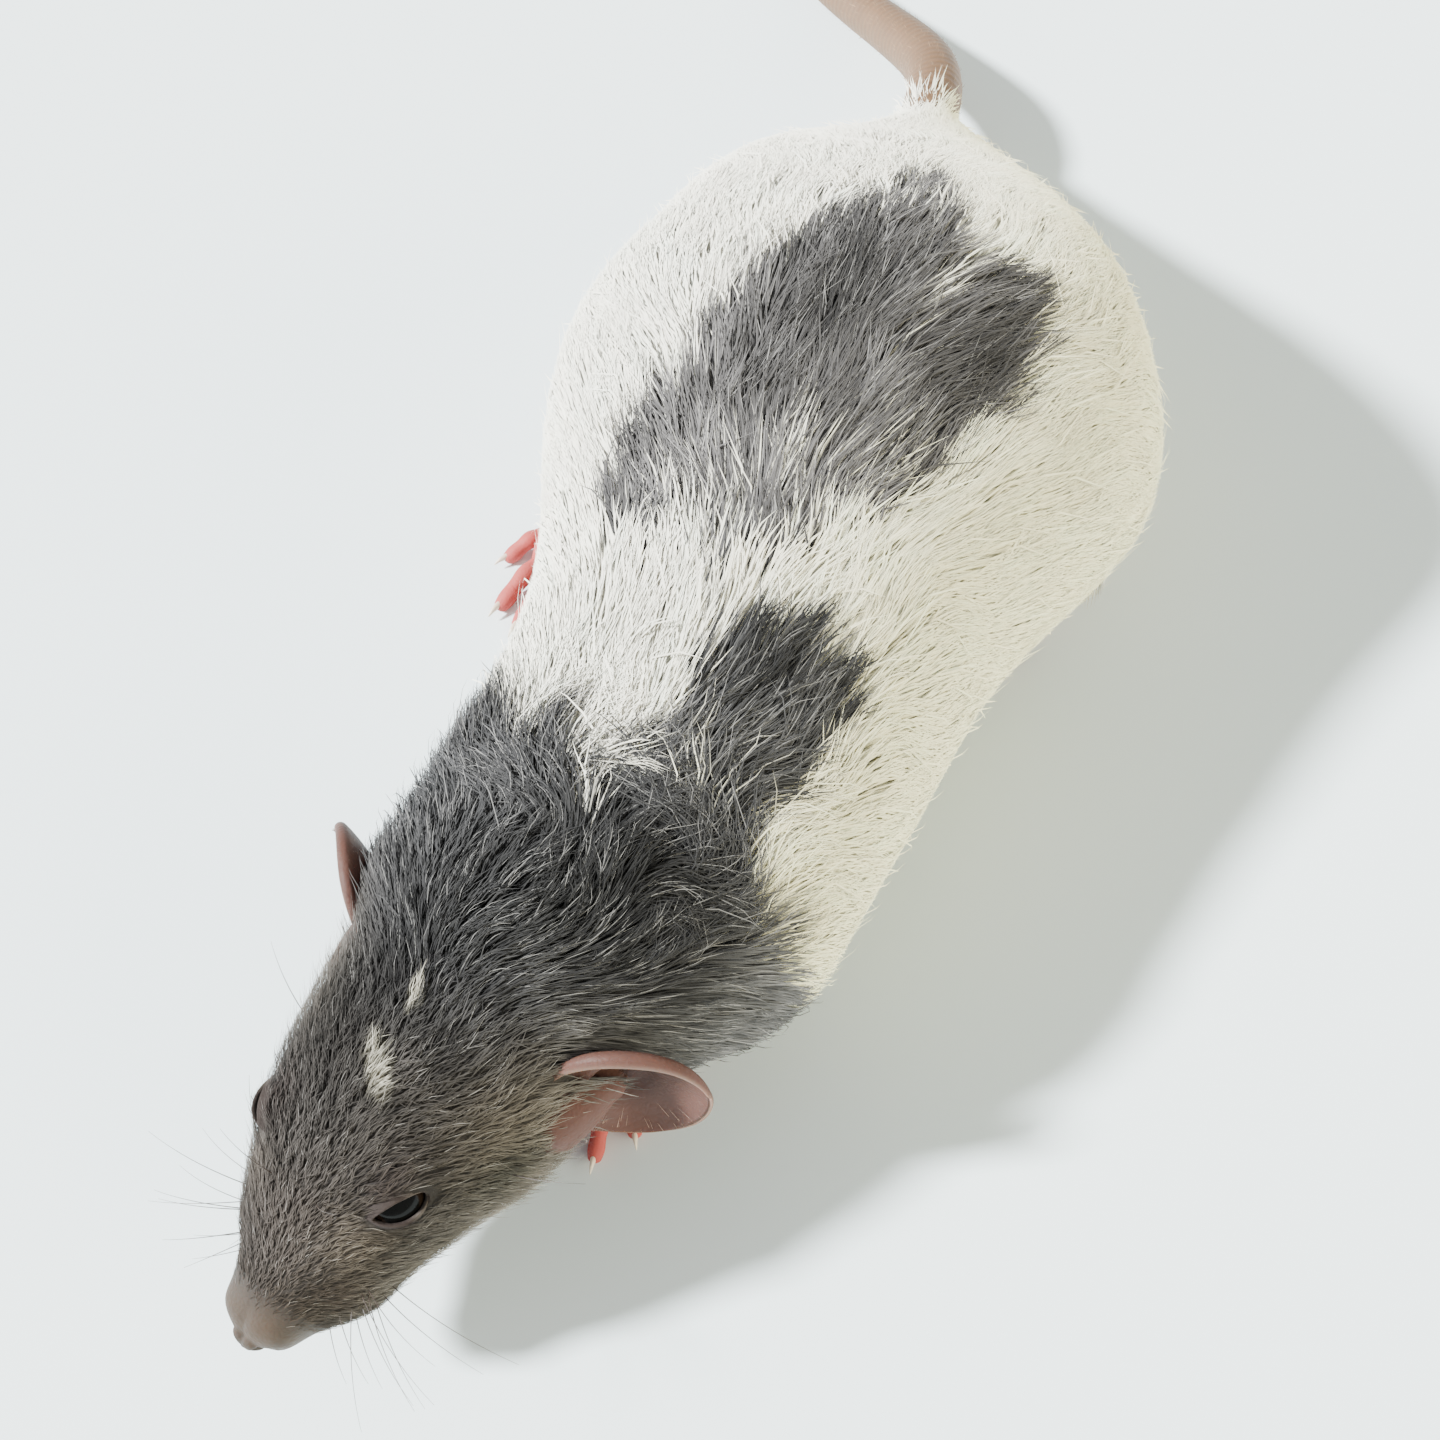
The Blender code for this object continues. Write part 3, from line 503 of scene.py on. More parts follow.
class TubeChart:
    """A limb as a surface: u runs along its line of sections, v round it.

    The line is a spline through the places, with a half width and a half height at each. Past both
    ends the section shrinks with the cosine of the overshoot, which rounds the ends off.
    """

    def __init__(self, points: Sequence[Array], widths: Sequence[float], heights: Sequence[float],
                 coat: Sequence[float] | None = None, square: float = 2.0, cap: float = 1.0) -> None:
        """Fit the spline.

        Args:
            points: the middle of each section.
            widths, heights: half sizes of each section, across and over the line.
            coat: depth of the coat at each section.
            square: squareness of the sections.
            cap: length of the rounded ends over the mean half size.
        """
        middle = np.asarray(points, float)
        ahead = unit(np.gradient(middle, axis=0))
        across = np.cross(ahead, (0.0, 0.0, 1.0))
        steep = np.linalg.norm(across, axis=1, keepdims=True) < 0.05
        across = unit(np.where(steep, np.cross(ahead, (0.0, 1.0, 0.0)), across))
        over = np.cross(across, ahead)
        coat = np.zeros(len(middle)) if coat is None else coat
        sizes = np.stack((widths, heights, coat), -1)
        self.spline = Spline(np.hstack((middle, across, over, sizes, ahead)))
        self.last = float(self.spline.last)
        self.square = square
        self.cap = cap

    def depth(self, u: Array, v: Array) -> Array:
        """Depth of the coat at u."""
        return self.spline(u)[..., 11]

    def point(self, u: Array, v: Array, lift: Array | float) -> Array:
        """Points of the limb, lifted off it.

        Args:
            u, v: parameters of the chart.
            lift: height over the skin.

        Returns:
            The points.
        """
        row = self.spline(np.clip(u, 0.0, self.last))
        over = np.where(u < 0, u, np.where(u > self.last, u - self.last, 0.0))
        cap = np.clip(over, -1.0, 1.0) * (math.pi / 2)
        c, s = (x * np.cos(cap) for x in squared(v, self.square))
        width, height = (row[..., 9] + lift) * c, (row[..., 10] + lift) * s
        size = (row[..., 9] + row[..., 10]) / 2 * self.cap
        centre = row[..., :3] + row[..., 12:15] * (np.sin(cap) * size)[..., None]
        return centre + row[..., 3:6] * width[..., None] + row[..., 6:9] * height[..., None]


class Slot(Enum):
    """Material slots of the skin, in their order."""

    HIDE = 0
    BARE = 1
    TAIL = 2


@dataclass
class Surface:
    """A closed mesh as arrays, before it becomes an object.

    Attributes:
        points: (n, 3) places.
        quads, triangles: rows of indices.
        tint: (n, 3) colour of each point.
        slots: slot of each quad and triangle, quads first.
        along: (n,) distance along the piece, for a pattern that follows it.
        normals: (n, 3) directions by which the points are shaded, where these aren't the faces' own.
    """

    points: Array
    quads: Array
    triangles: Array
    tint: Array
    slots: Array
    along: Array | None = None
    normals: Array | None = None


# Kind and key of an attribute, for the count of its numbers.
POINT_KINDS = {1: ("FLOAT", "value"), 3: ("FLOAT_VECTOR", "vector"), 4: ("FLOAT_COLOR", "color")}


def grid_quads(rows: int, columns: int, closed_rows: bool = False) -> Array:
    """Quads of a grid that closes on itself round its columns, and along its rows if asked.

    Args:
        rows, columns: size of the grid of points, stored row by row.
        closed_rows: whether the last row joins the first.

    Returns:
        (m, 4) indices.
    """
    i = np.arange(rows if closed_rows else rows - 1)[:, None]
    j = np.arange(columns)[None, :]
    n, k = (j + 1) % columns, (i + 1) % rows
    corners = (i * columns + j, i * columns + n, k * columns + n, k * columns + j)
    return np.stack([np.broadcast_to(c, (len(i), columns)) for c in corners], -1).reshape(-1, 4)


def closed_grid(points: Array, tint: Array, slot: Slot | Array, along: Array | None = None) -> Surface:
    """A tube of rings closed by a point at each end.

    Args:
        points: (rows, columns, 3) rings.
        tint: (rows, columns, 3) colours, or one colour.
        slot: one slot, or a slot for each ring.
        along: (rows,) distance along the piece.

    Returns:
        The closed surface, its faces turned outwards.
    """
    rows, columns = points.shape[:2]
    first, last = points[0].mean(0), points[-1].mean(0)
    tint = np.broadcast_to(tint, points.shape)
    flat = np.vstack((points.reshape(-1, 3), first, last))
    colours = np.vstack((tint.reshape(-1, 3), tint[0].mean(0), tint[-1].mean(0)))
    quads = grid_quads(rows, columns)
    j = np.arange(columns)
    n = (j + 1) % columns
    low = np.stack((np.full(columns, rows * columns), n, j), -1)
    base = (rows - 1) * columns
    high = np.stack((np.full(columns, rows * columns + 1), base + j, base + n), -1)
    triangles = np.vstack((low, high))
    if isinstance(slot, Slot):
        slots = np.full(len(quads) + len(triangles), slot.value)
    else:
        slots = np.concatenate((np.repeat(slot[:-1], columns), np.full(columns, slot[0]),
                                np.full(columns, slot[-1])))
    line = np.zeros(rows) if along is None else along
    line = np.concatenate((np.repeat(line, columns), line[:1], line[-1:]))
    return outward(Surface(flat, quads, triangles, colours, slots, line))


def outward(surface: Surface) -> Surface:
    """The surface with its faces turned outwards, by the sign of the volume they enclose.

    Args:
        surface: a closed one.

    Returns:
        The same surface, turned where the volume was negative.
    """
    faces = np.vstack((surface.quads[:, (0, 1, 2)], surface.quads[:, (0, 2, 3)], surface.triangles))
    a, b, c = (surface.points[faces[:, k]] for k in range(3))
    if np.einsum("ij,ij->", a, np.cross(b, c)) < 0:
        surface.quads = surface.quads[:, ::-1]
        surface.triangles = surface.triangles[:, ::-1]
    return surface


def write_points(mesh: Mesh, name: str, values: Array) -> None:
    """Write a value, vector or colour for each point as an attribute, made where it is missing."""
    kind, key = POINT_KINDS[values.size // len(mesh.vertices)]
    layer = mesh.attributes.get(name) or mesh.attributes.new(name, kind, "POINT")
    layer.data.foreach_set(key, values.astype(np.float32).ravel())


def read_points(mesh: Mesh, name: str, width: int) -> Array:
    """The (n, width) numbers of an attribute of the points."""
    values = np.zeros(len(mesh.vertices) * width, np.float32)
    mesh.attributes[name].data.foreach_get(POINT_KINDS[width][1], values)
    return values.reshape(-1, width)


def mesh_object(name: str, surface: Surface, materials: Sequence[Material]) -> Object:
    """A mesh object from a surface.

    Args:
        name: its name.
        surface: its points, faces, colours and slots.
        materials: one material for each slot.

    Returns:
        The object, linked to the scene, with smooth faces.
    """
    mesh = bpy.data.meshes.new(name)
    quads, triangles = surface.quads, surface.triangles
    mesh.vertices.add(len(surface.points))
    mesh.vertices.foreach_set("co", surface.points.astype(np.float32).ravel())
    corners = np.concatenate((quads.ravel(), triangles.ravel())).astype(np.int32)
    sizes = np.concatenate((np.full(len(quads), 4), np.full(len(triangles), 3))).astype(np.int32)
    mesh.loops.add(len(corners))
    mesh.loops.foreach_set("vertex_index", corners)
    mesh.polygons.add(len(sizes))
    mesh.polygons.foreach_set("loop_start", (np.cumsum(sizes) - sizes).astype(np.int32))
    for material in materials:
        mesh.materials.append(material)
    mesh.polygons.foreach_set("material_index", surface.slots.astype(np.int32))
    mesh.update(calc_edges=True)
    ones = np.ones((len(surface.points), 1))
    write_points(mesh, "tint", np.hstack((surface.tint, ones)))
    if surface.along is not None:
        write_points(mesh, "along", surface.along)
    if surface.normals is not None:
        write_points(mesh, "custom_normal", surface.normals)
    write_points(mesh, "known", ones)
    mesh.shade_smooth()
    obj = bpy.data.objects.new(name, mesh)
    bpy.context.scene.collection.objects.link(obj)
    return obj


def rgb(red: float, green: float, blue: float) -> Array:
    """A linear colour from screen values of 0 to 255."""
    screen = np.array((red, green, blue)) / 255.0
    return np.where(screen <= 0.04045, screen / 12.92, ((screen + 0.055) / 1.055) ** 2.4)


@dataclass(frozen=True)
class Blotch:
    """A soft patch of colour on both sides of the head, at a place of its frame.

    Attributes:
        place, size: forward, side and level of its middle, and its spread along each.
        colour: linear colour.
        strength: how much of it shows in the middle.
    """

    place: Triple
    size: Triple
    colour: Triple
    strength: float


@dataclass(frozen=True)
class Tone:
    """A darker or paler stretch of the grey hair, in the shape of a bell on the body's chart.

    Attributes:
        s, q: distance along the spine and degrees from the back of its middle.
        reach_s, reach_q: its spread along each.
        gain: natural logarithm of the brightness in its middle.
        white: share of white hairs mixed in, in its middle.
    """

    s: float
    q: float
    reach_s: float
    reach_q: float
    gain: float
    white: float = 0.0

    def share(self, s: Array, q: Array) -> Array:
        """How much of it shows at places of the chart: exp(-x^2 - y^2)."""
        return np.exp(-((s - self.s) / self.reach_s) ** 2 - ((q - self.q) / self.reach_q) ** 2)


@dataclass(frozen=True)
class Markings:
    """The grey hood and the patch on the rump over a cream coat.

    Edges are given on the body's chart: s, the distance along the spine, and q, degrees round the
    body from the back, positive to the left. Between the given values they run straight.

    Attributes:
        hood_q, hood_s: the rear edge of the hood.
        tongue_s, tongue_low, tongue_high: the lobe behind it, and its two sides.
        rump_s, rump_low, rump_high: the patch on the rump, and its two sides.
        waver, soft: how far the edges waver, and over what width they fade.
        cream, cream_warm_lit_side, grey, rump_grey, silver, face, flash: linear colours of the hair;
        cream_warm_lit_side is the cream of the left flank, made yellower by painted warm light on that shaded
        side.
        tones, blotches: darker and paler stretches.
        flashes: middle, direction, length and width of the two pale flashes.
    """

    hood_q: tuple[float, ...] = (-180, -110, -62, -40, -22, -8, 0, 4, 10, 30, 34, 42, 52, 70, 102, 180)
    hood_s: tuple[float, ...] = (0.1590, 0.1530, 0.1529, 0.1562, 0.1582, 0.1600, 0.1648, 0.1600,
                                 0.1570, 0.1550, 0.1562, 0.1613, 0.1645, 0.1668, 0.1660, 0.1590)
    tongue_s: tuple[float, ...] = (0.1392, 0.1398, 0.1410, 0.1430, 0.1462, 0.1508, 0.1562, 0.1600)
    tongue_low: tuple[float, ...] = (24, 19, 11, 6, 3, 5, 3, 2)
    tongue_high: tuple[float, ...] = (26, 35, 45, 49, 47, 40, 39, 40)
    rump_s: tuple[float, ...] = (0.0650, 0.0713, 0.0770, 0.0814, 0.0840, 0.0858, 0.0909, 0.0937, 0.0979,
                                 0.1039, 0.1057, 0.1118, 0.1183, 0.1231, 0.1290, 0.1340, 0.1377)
    rump_low: tuple[float, ...] = (7, 5, 3, 0.5, -1, -3, -6.5, -9, -11, -14, -14.5, -15.5, -20.5, -31,
                                   -30, -27, -10)
    rump_high: tuple[float, ...] = (9, 11.5, 13.5, 15, 21, 32, 39, 40.5, 42.5, 44.5, 45, 43.5, 40, 34, 22,
                                    8, 2)
    waver: float = 0.0016
    soft: float = 0.0044
    cream: Triple = (0.96, 0.915, 0.79)
    # Cream tinted yellow by painted warm fill light, for the shaded left flank.
    cream_warm_lit_side: Triple = (0.97, 0.905, 0.60)
    grey: Triple = (0.047, 0.0462, 0.0475)
    rump_grey: Triple = (0.081, 0.0765, 0.0755)
    silver: Triple = (0.26, 0.25, 0.235)
    face: Triple = (0.0415, 0.0368, 0.0335)
    tones: tuple[Tone, ...] = (
        Tone(0.1735, 16, 0.0105, 32, -1.50), Tone(0.1915, -12, 0.0090, 16, -1.15),
        Tone(0.1990, -26, 0.0070, 12, -0.45), Tone(0.1935, 22, 0.0070, 12, -0.45),
        Tone(0.1650, 40, 0.0060, 12, 0.60), Tone(0.1450, 18, 0.0090, 12, -0.65),
        Tone(0.1545, 15, 0.0040, 16, 0.40, 0.25), Tone(0.1680, 74, 0.0140, 24, 0.95, 0.04),
        Tone(0.1600, -45, 0.0060, 20, -0.20, 0.10), Tone(0.1000, 5, 0.0120, 10, -0.80),
        Tone(0.1010, 30, 0.0110, 7, -0.60), Tone(0.0860, 19, 0.0190, 3.5, 0.20, 0.50),
        Tone(0.0770, 11, 0.0090, 12, 0.35, 0.30), Tone(0.1240, 9, 0.0090, 13, 0.25, 0.26),
        Tone(0.1350, -8, 0.0070, 12, 0.40, 0.50), Tone(0.1270, -26, 0.0090, 8, -0.10, 0.10),
        Tone(0.1190, 32, 0.0080, 12, 0.20, 0.28), Tone(0.1060, -8, 0.0120, 5, 0.35, 0.15))
    blotches: tuple[Blotch, ...] = (
        Blotch((0.0060, 0.0165, 0.0040), (0.0080, 0.0060, 0.0070), (0.185, 0.156, 0.124), 0.80),
        Blotch((0.0300, 0.0000, 0.0050), (0.0090, 0.0060, 0.0060), (0.080, 0.065, 0.056), 0.75),
        Blotch((0.0322, 0.0078, -0.0005), (0.0042, 0.0036, 0.0035), (0.045, 0.034, 0.029), 0.85),
        Blotch((0.0268, 0.0080, 0.0050), (0.0040, 0.0034, 0.0034), (0.125, 0.104, 0.086), 0.75),
        Blotch((0.0200, 0.0090, 0.0098), (0.0035, 0.0026, 0.0026), (0.046, 0.034, 0.031), 0.70),
        Blotch((0.0400, 0.0020, -0.0030), (0.0046, 0.0060, 0.0060), (0.052, 0.035, 0.024), 0.96),
        Blotch((0.0205, 0.0130, -0.0080), (0.0160, 0.0080, 0.0070), (0.26, 0.225, 0.18), 0.75),
        Blotch((0.0110, 0.0160, 0.0028), (0.0058, 0.0040, 0.0028), (0.034, 0.032, 0.024), 0.90),
    )

    flash: Triple = (0.44, 0.41, 0.33)
    flashes: tuple[tuple, ...] = (((0.0104, 0.0008), (0.66, 0.75), 0.0032, 0.0013),
                                  ((0.0020, -0.0006), (0.9, 0.4), 0.0018, 0.0007))

    def weight(self, s: Array, q: Array, points: Array) -> Array:
        """How grey the coat is at places of the chart, 0 to 1.

        Args:
            s, q: places on the chart.
            points: the same places in the model's frame, which waver the edges.

        Returns:
            The greyness at each place.
        """
        waver = self.waver * Ripple(11, 0.010)(points)
        hood = s - np.interp(q, self.hood_q, self.hood_s) + waver
        tongue = self.band(s, q, self.tongue_s, self.tongue_low, self.tongue_high) + waver
        rump = self.band(s, q, self.rump_s, self.rump_low, self.rump_high) + waver
        inside = np.maximum(np.maximum(hood, tongue), rump)
        thin = 1.0 - np.minimum(sum(tone.white * tone.share(s, q) for tone in self.tones), 0.8)
        return ease(inside / self.soft * 0.5 + 0.5) * thin

    @staticmethod
    def band(s: Array, q: Array, table: Sequence[float], low: Sequence[float],
             high: Sequence[float]) -> Array:
        """Distance in metres inside a band between two edges, negative outside it.

        The degrees beyond each edge are turned into metres at the mean radius of the back.

        Args:
            s, q: distance along the body, and degrees round it.
            table: where along the body the edges are given.
            low, high: degrees of the two edges there.

        Returns:
            The distances.
        """
        metres = math.radians(1.0) * 0.036
        inside = np.minimum(q - np.interp(s, table, low), np.interp(s, table, high) - q) * metres
        return np.minimum(inside, np.minimum(s - table[0], table[-1] - s))

    def colours(self, s: Array, q: Array, points: Array, weight: Array | None = None) -> tuple[Array, Array]:
        """Base colour of the coat and its greyness at places of the chart.

        Args:
            s, q: places on the chart.
            points: the same places in the model's frame.
            weight: the greyness, where it has been settled already.

        Returns:
            (n, 3) linear colours and (n,) weights.
        """
        weight = self.weight(s, q, points) if weight is None else weight
        local = HEAD.local(points)
        # Painted light: the cream turns yellower over the left flank, as warm fill light tints its shaded
        # side.
        cream = mixed(np.array(self.cream), np.array(self.cream_warm_lit_side), ease((q + 10) / 70))
        gain = sum(tone.gain * tone.share(s, q) for tone in self.tones) + 0.24 * Ripple(23, 0.009)(points)
        grey = mixed(np.array(self.grey), np.array(self.rump_grey), ease((0.140 - s) / 0.012))
        grey = mixed(grey, np.array(self.face), ease((local[..., 0] + 0.004) / 0.016))
        colour = mixed(cream, grey * np.exp(gain)[..., None], weight)
        for blotch in self.blotches:
            offset = mirrored(local) - np.array(blotch.place)
            share = blotch.strength * np.exp(-((offset / np.array(blotch.size)) ** 2).sum(-1))
            colour = mixed(colour, np.array(blotch.colour), share)
        return self.blaze(local, colour), weight

    def blaze(self, local: Array, colour: Array) -> Array:
        """The colour with the pale flash between the eyes and the small one behind it.

        Args:
            local: places of the head.
            colour: of the coat at each.

        Returns:
            The colour with both.
        """
        for middle, (lead, lean), length, width in self.flashes:
            offset = local[..., :2] - np.array(middle)
            a = (offset[..., 0] * lead + offset[..., 1] * lean) / math.hypot(lead, lean)
            b = (offset[..., 0] * lean - offset[..., 1] * lead) / math.hypot(lead, lean)
            share = np.exp(-((a / length) ** 2 + (b / width) ** 2) ** 2) * (local[..., 2] > 0) * 0.9
            colour = mixed(colour, np.array(self.flash), share)
        return colour


MARKINGS = Markings()


def chart_angle(v: Array) -> Array:
    """Degrees round the body from the back, positive to the left, from the angle v."""
    q = 90.0 - np.degrees(v)
    return (q + 180.0) % 360.0 - 180.0


class Nodes:
    """Short hand for laying out a material's nodes."""

    def __init__(self, name: str) -> None:
        """Start a material with a Principled shader and its output."""
        self.material = bpy.data.materials.new(name)
        self.material.use_nodes = True
        self.tree = self.material.node_tree
        self.shader = self.tree.nodes["Principled BSDF"]

    def add(self, kind: str, inputs: dict[str | int, object] | None = None,
            **settings: object) -> bpy.types.Node:
        """Add a node, set its properties and its inputs; an input given as a socket is linked.

        Args:
            kind: of node.
            inputs: its values, by name or number.
            settings: its properties.

        Returns:
            The node.
        """
        node = self.tree.nodes.new(kind)
        for key, value in settings.items():
            setattr(node, key, value)
        for key, value in (inputs or {}).items():
            if isinstance(value, Socket):
                self.tree.links.new(value, node.inputs[key])
            else:
                node.inputs[key].default_value = value
        return node

    def set(self, **values: object) -> None:
        """Set sockets of the shader; underscores stand for spaces, and a socket is linked."""
        for key, value in values.items():
            socket = self.shader.inputs[key.replace("_", " ")]
            if isinstance(value, Socket):
                self.tree.links.new(value, socket)
            else:
                socket.default_value = value

    def place(self) -> Socket:
        """Object coordinates."""
        return self.add("ShaderNodeTexCoord").outputs["Object"]

    def tint(self) -> Socket:
        """The piece's own colour."""
        return self.add("ShaderNodeAttribute", attribute_name="tint").outputs["Color"]

    def noise(self, scale: float, detail: float = 4.0, roughness: float = 0.55) -> Socket:
        """Noise on Object coordinates."""
        inputs = {"Vector": self.place(), "Scale": scale, "Detail": detail, "Roughness": roughness}
        return self.add("ShaderNodeTexNoise", inputs).outputs["Fac"]

    def bump(self, height: Socket, strength: float, distance: float) -> Socket:
        """The normal of a surface with that height."""
        inputs = {"Height": height, "Strength": strength, "Distance": distance}
        return self.add("ShaderNodeBump", inputs).outputs["Normal"]

    def shaded(self, colour: Socket, amount: Socket, low: float,
               high: float) -> Socket:
        """A colour made darker and lighter by a value: its brightness runs from low to high."""
        scale = self.add("ShaderNodeMapRange", {"Value": amount, "To Min": low, "To Max": high})
        return self.add("ShaderNodeVectorMath", {0: colour, "Scale": scale.outputs[0]},
                        operation="SCALE").outputs["Vector"]


@dataclass(frozen=True)
class PlainFinish:
    """A piece in its own colour, a little mottled: the hair, the eyes, and the horn of the claws.

    Attributes:
        name: of the material.
        grain, detail: scale and detail of the mottling.
        low, high: brightness of its darkest and its lightest parts.
        roughness, specular, sheen: of the surface.
    """

    name: str
    grain: float
    detail: float
    low: float
    high: float
    roughness: float
    specular: float
    sheen: float = 0.0

    def material(self) -> Material:
        """Lay out the nodes."""
        nodes = Nodes(self.name)
        colour = nodes.shaded(nodes.tint(), nodes.noise(self.grain, self.detail), self.low, self.high)
        nodes.set(Base_Color=colour, Roughness=self.roughness, Specular_IOR_Level=self.specular,
                  Sheen_Weight=self.sheen, Sheen_Roughness=0.5)
        return nodes.material


HAIR = PlainFinish("coat_hair", 900.0, 2.0, 0.86, 1.14, 0.60, 0.07, sheen=0.02)
MOIST_EYE = PlainFinish("eye_surface", 1800.0, 3.0, 0.70, 1.30, 0.10, 0.10)
HORN = PlainFinish("horn", 1200.0, 2.0, 0.88, 1.10, 0.35, 0.50)


@dataclass(frozen=True)
class HideFinish:
    """The skin under the coat: the coat's own colours, with the lie of the underfur as bump."""

    name: str = "furred_hide"
    fine: float = 1500.0

    def material(self) -> Material:
        """Lay out the nodes."""
        nodes = Nodes(self.name)
        strands = nodes.noise(self.fine, 5.0, 0.65)
        nodes.set(Base_Color=nodes.shaded(nodes.tint(), strands, 0.70, 1.05), Roughness=0.85,
                  Specular_IOR_Level=0.15, Normal=nodes.bump(strands, 0.6, 0.0004))
        return nodes.material


@dataclass(frozen=True)
class BareFinish:
    """Bare pink skin of ears, nose and feet: mottled, finely creased and a little translucent."""

    name: str = "bare_skin"
    mottle: float = 260.0
    crease: float = 1400.0

    def material(self) -> Material:
        """Lay out the nodes."""
        nodes = Nodes(self.name)
        colour = nodes.shaded(nodes.tint(), nodes.noise(self.mottle, 5.0, 0.6), 0.80, 1.18)
        cells = nodes.add("ShaderNodeTexVoronoi", {"Vector": nodes.place(), "Scale": self.crease},
                          feature="DISTANCE_TO_EDGE").outputs["Distance"]
        nodes.set(Base_Color=colour, Roughness=0.55, Normal=nodes.bump(cells, 0.35, 0.0002),
                  Subsurface_Weight=0.20, Subsurface_Radius=(0.0016, 0.0006, 0.0003),
                  Subsurface_Scale=1.0, Specular_IOR_Level=0.15)
        return nodes.material


@dataclass(frozen=True)
class TailFinish:
    """The tail: rings of small scales, darker in the grooves between them."""

    name: str = "tail_skin"
    ring: float = 0.00085

    def material(self) -> Material:
        """Lay out the nodes: the ring's height is a triangle wave of the distance along."""
        nodes = Nodes(self.name)
        along = nodes.add("ShaderNodeAttribute", attribute_name="along").outputs["Fac"]
        turns = nodes.add("ShaderNodeMath", {0: along, 1: 1.0 / self.ring}, operation="MULTIPLY")
        wave = nodes.add("ShaderNodeMath", {0: turns.outputs[0], 1: 1.0}, operation="PINGPONG").outputs[0]
        speckle = nodes.noise(2200.0, 3.0)
        height = nodes.add("ShaderNodeMath", {0: wave, 1: speckle}, operation="MULTIPLY").outputs[0]
        ringed = nodes.shaded(nodes.tint(), wave, 0.84, 1.06)
        colour = nodes.shaded(ringed, nodes.noise(150.0, 4.0), 0.82, 1.16)
        nodes.set(Base_Color=colour, Roughness=0.55, Normal=nodes.bump(height, 0.8, 0.0002),
                  Subsurface_Weight=0.15, Subsurface_Radius=(0.0015, 0.0007, 0.0004),
                  Subsurface_Scale=1.0)
        return nodes.material


@dataclass(frozen=True)
class FloorFinish:
    """A plain pale floor."""

    name: str = "pale_floor"

    def material(self) -> Material:
        """Lay out the nodes."""
        nodes = Nodes(self.name)
        nodes.set(Base_Color=(0.800, 0.880, 0.905, 1.0), Roughness=0.60, Specular_IOR_Level=0.1)
        return nodes.material


def dress(obj: Object, slot: str, *nodes: str) -> Object:
    """Let a piece ride on the body and stand for the named nodes.

    Args:
        obj: the piece.
        slot: not used.
        nodes: those that it stands for.

    Returns:
        The piece.
    """
    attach(obj, "root")
    if nodes:
        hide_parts(*nodes)
    LOG.info("%s: %d faces", obj.name, len(obj.data.polygons))
    return obj


def combined(obj: Object, others: Sequence[Object], operation: str) -> Object:
    """Join or cut a closed piece by others with one Boolean, applied; the others are removed.

    Args:
        obj: the piece.
        others: closed pieces with the same material slots.
        operation: UNION or DIFFERENCE.

    Returns:
        The piece, with every point that the Boolean made coloured as its neighbours are.
    """
    group = bpy.data.collections.new("operands")
    bpy.context.scene.collection.children.link(group)
    for other in others:
        group.objects.link(other)
    modifier = obj.modifiers.new(operation.title(), "BOOLEAN")
    modifier.operand_type = "COLLECTION"
    modifier.collection = group
    modifier.operation = operation
    modifier.solver = "MANIFOLD"
    depsgraph = bpy.context.evaluated_depsgraph_get()
    mesh = bpy.data.meshes.new_from_object(obj.evaluated_get(depsgraph))
    obj.modifiers.clear()
    obj.data = mesh
    for other in others:
        bpy.data.objects.remove(other, do_unlink=True)
    bpy.data.collections.remove(group)
    fill_new_points(mesh)
    return obj


def fill_new_points(mesh: Mesh) -> None:
    """Give points that a Boolean made the mean colour and distance of their known neighbours.

    Args:
        mesh: what the Boolean left.
    """
    count = len(mesh.vertices)
    values = np.hstack((read_points(mesh, "tint", 4), read_points(mesh, "along", 1)))
    edges = np.zeros(len(mesh.edges) * 2, np.int32)
    mesh.edges.foreach_get("vertices", edges)
    pairs = edges.reshape(-1, 2)
    pairs = np.vstack((pairs, pairs[:, ::-1]))
    sure = read_points(mesh, "known", 1)[:, 0] > 0.999
    for _ in range(6):
        use = pairs[sure[pairs[:, 1]] & ~sure[pairs[:, 0]]]
        if not len(use):
            break
        total, number = np.zeros_like(values), np.zeros(count)
        np.add.at(total, use[:, 0], values[use[:, 1]])
        np.add.at(number, use[:, 0], 1.0)
        found = number > 0
        values[found] = total[found] / number[found][:, None]
        sure |= found
    write_points(mesh, "tint", values[:, :4])
    write_points(mesh, "along", values[:, 4])
    write_points(mesh, "known", np.ones(count))


def tube_surface(chart: TubeChart, rings: int, sides: int, tint: Array, slot: Slot,
                 ground: bool = False) -> Surface:
    """A closed tube over a limb's chart, its ends rounded.

    Args:
        chart: the limb.
        rings, sides: of the grid.
        tint: one colour, or one for each end.
        slot: material slot.
        ground: whether points below the ground are laid on it.

    Returns:
        The surface.
    """
    turn, last = circle(sides), chart.last
    caps = np.array((0.25, 0.5, 0.75, 0.96))
    u = np.concatenate((-caps[::-1], np.linspace(0.0, last, rings), last + caps))
    points = chart.point(*np.meshgrid(u, turn, indexing="ij"), 0.0)
    if ground:
        points[..., 2] = np.maximum(points[..., 2], 0.0)
    tint = np.atleast_2d(tint)
    share = np.clip(u / last, 0.0, 1.0)[:, None, None]
    colours = tint[0] * (1 - share) + tint[-1] * share
    return closed_grid(points, np.broadcast_to(colours, points.shape), slot, u)


BARE_PINK = np.array((0.46, 0.22, 0.18))
TOE_PINK = np.array((0.42, 0.085, 0.075))
EAR_PINK = np.array((0.086, 0.042, 0.033))
# Painted shade deep inside the front of the ear's cup.
EAR_CUP_SHADE = np.array((0.038, 0.016, 0.012))
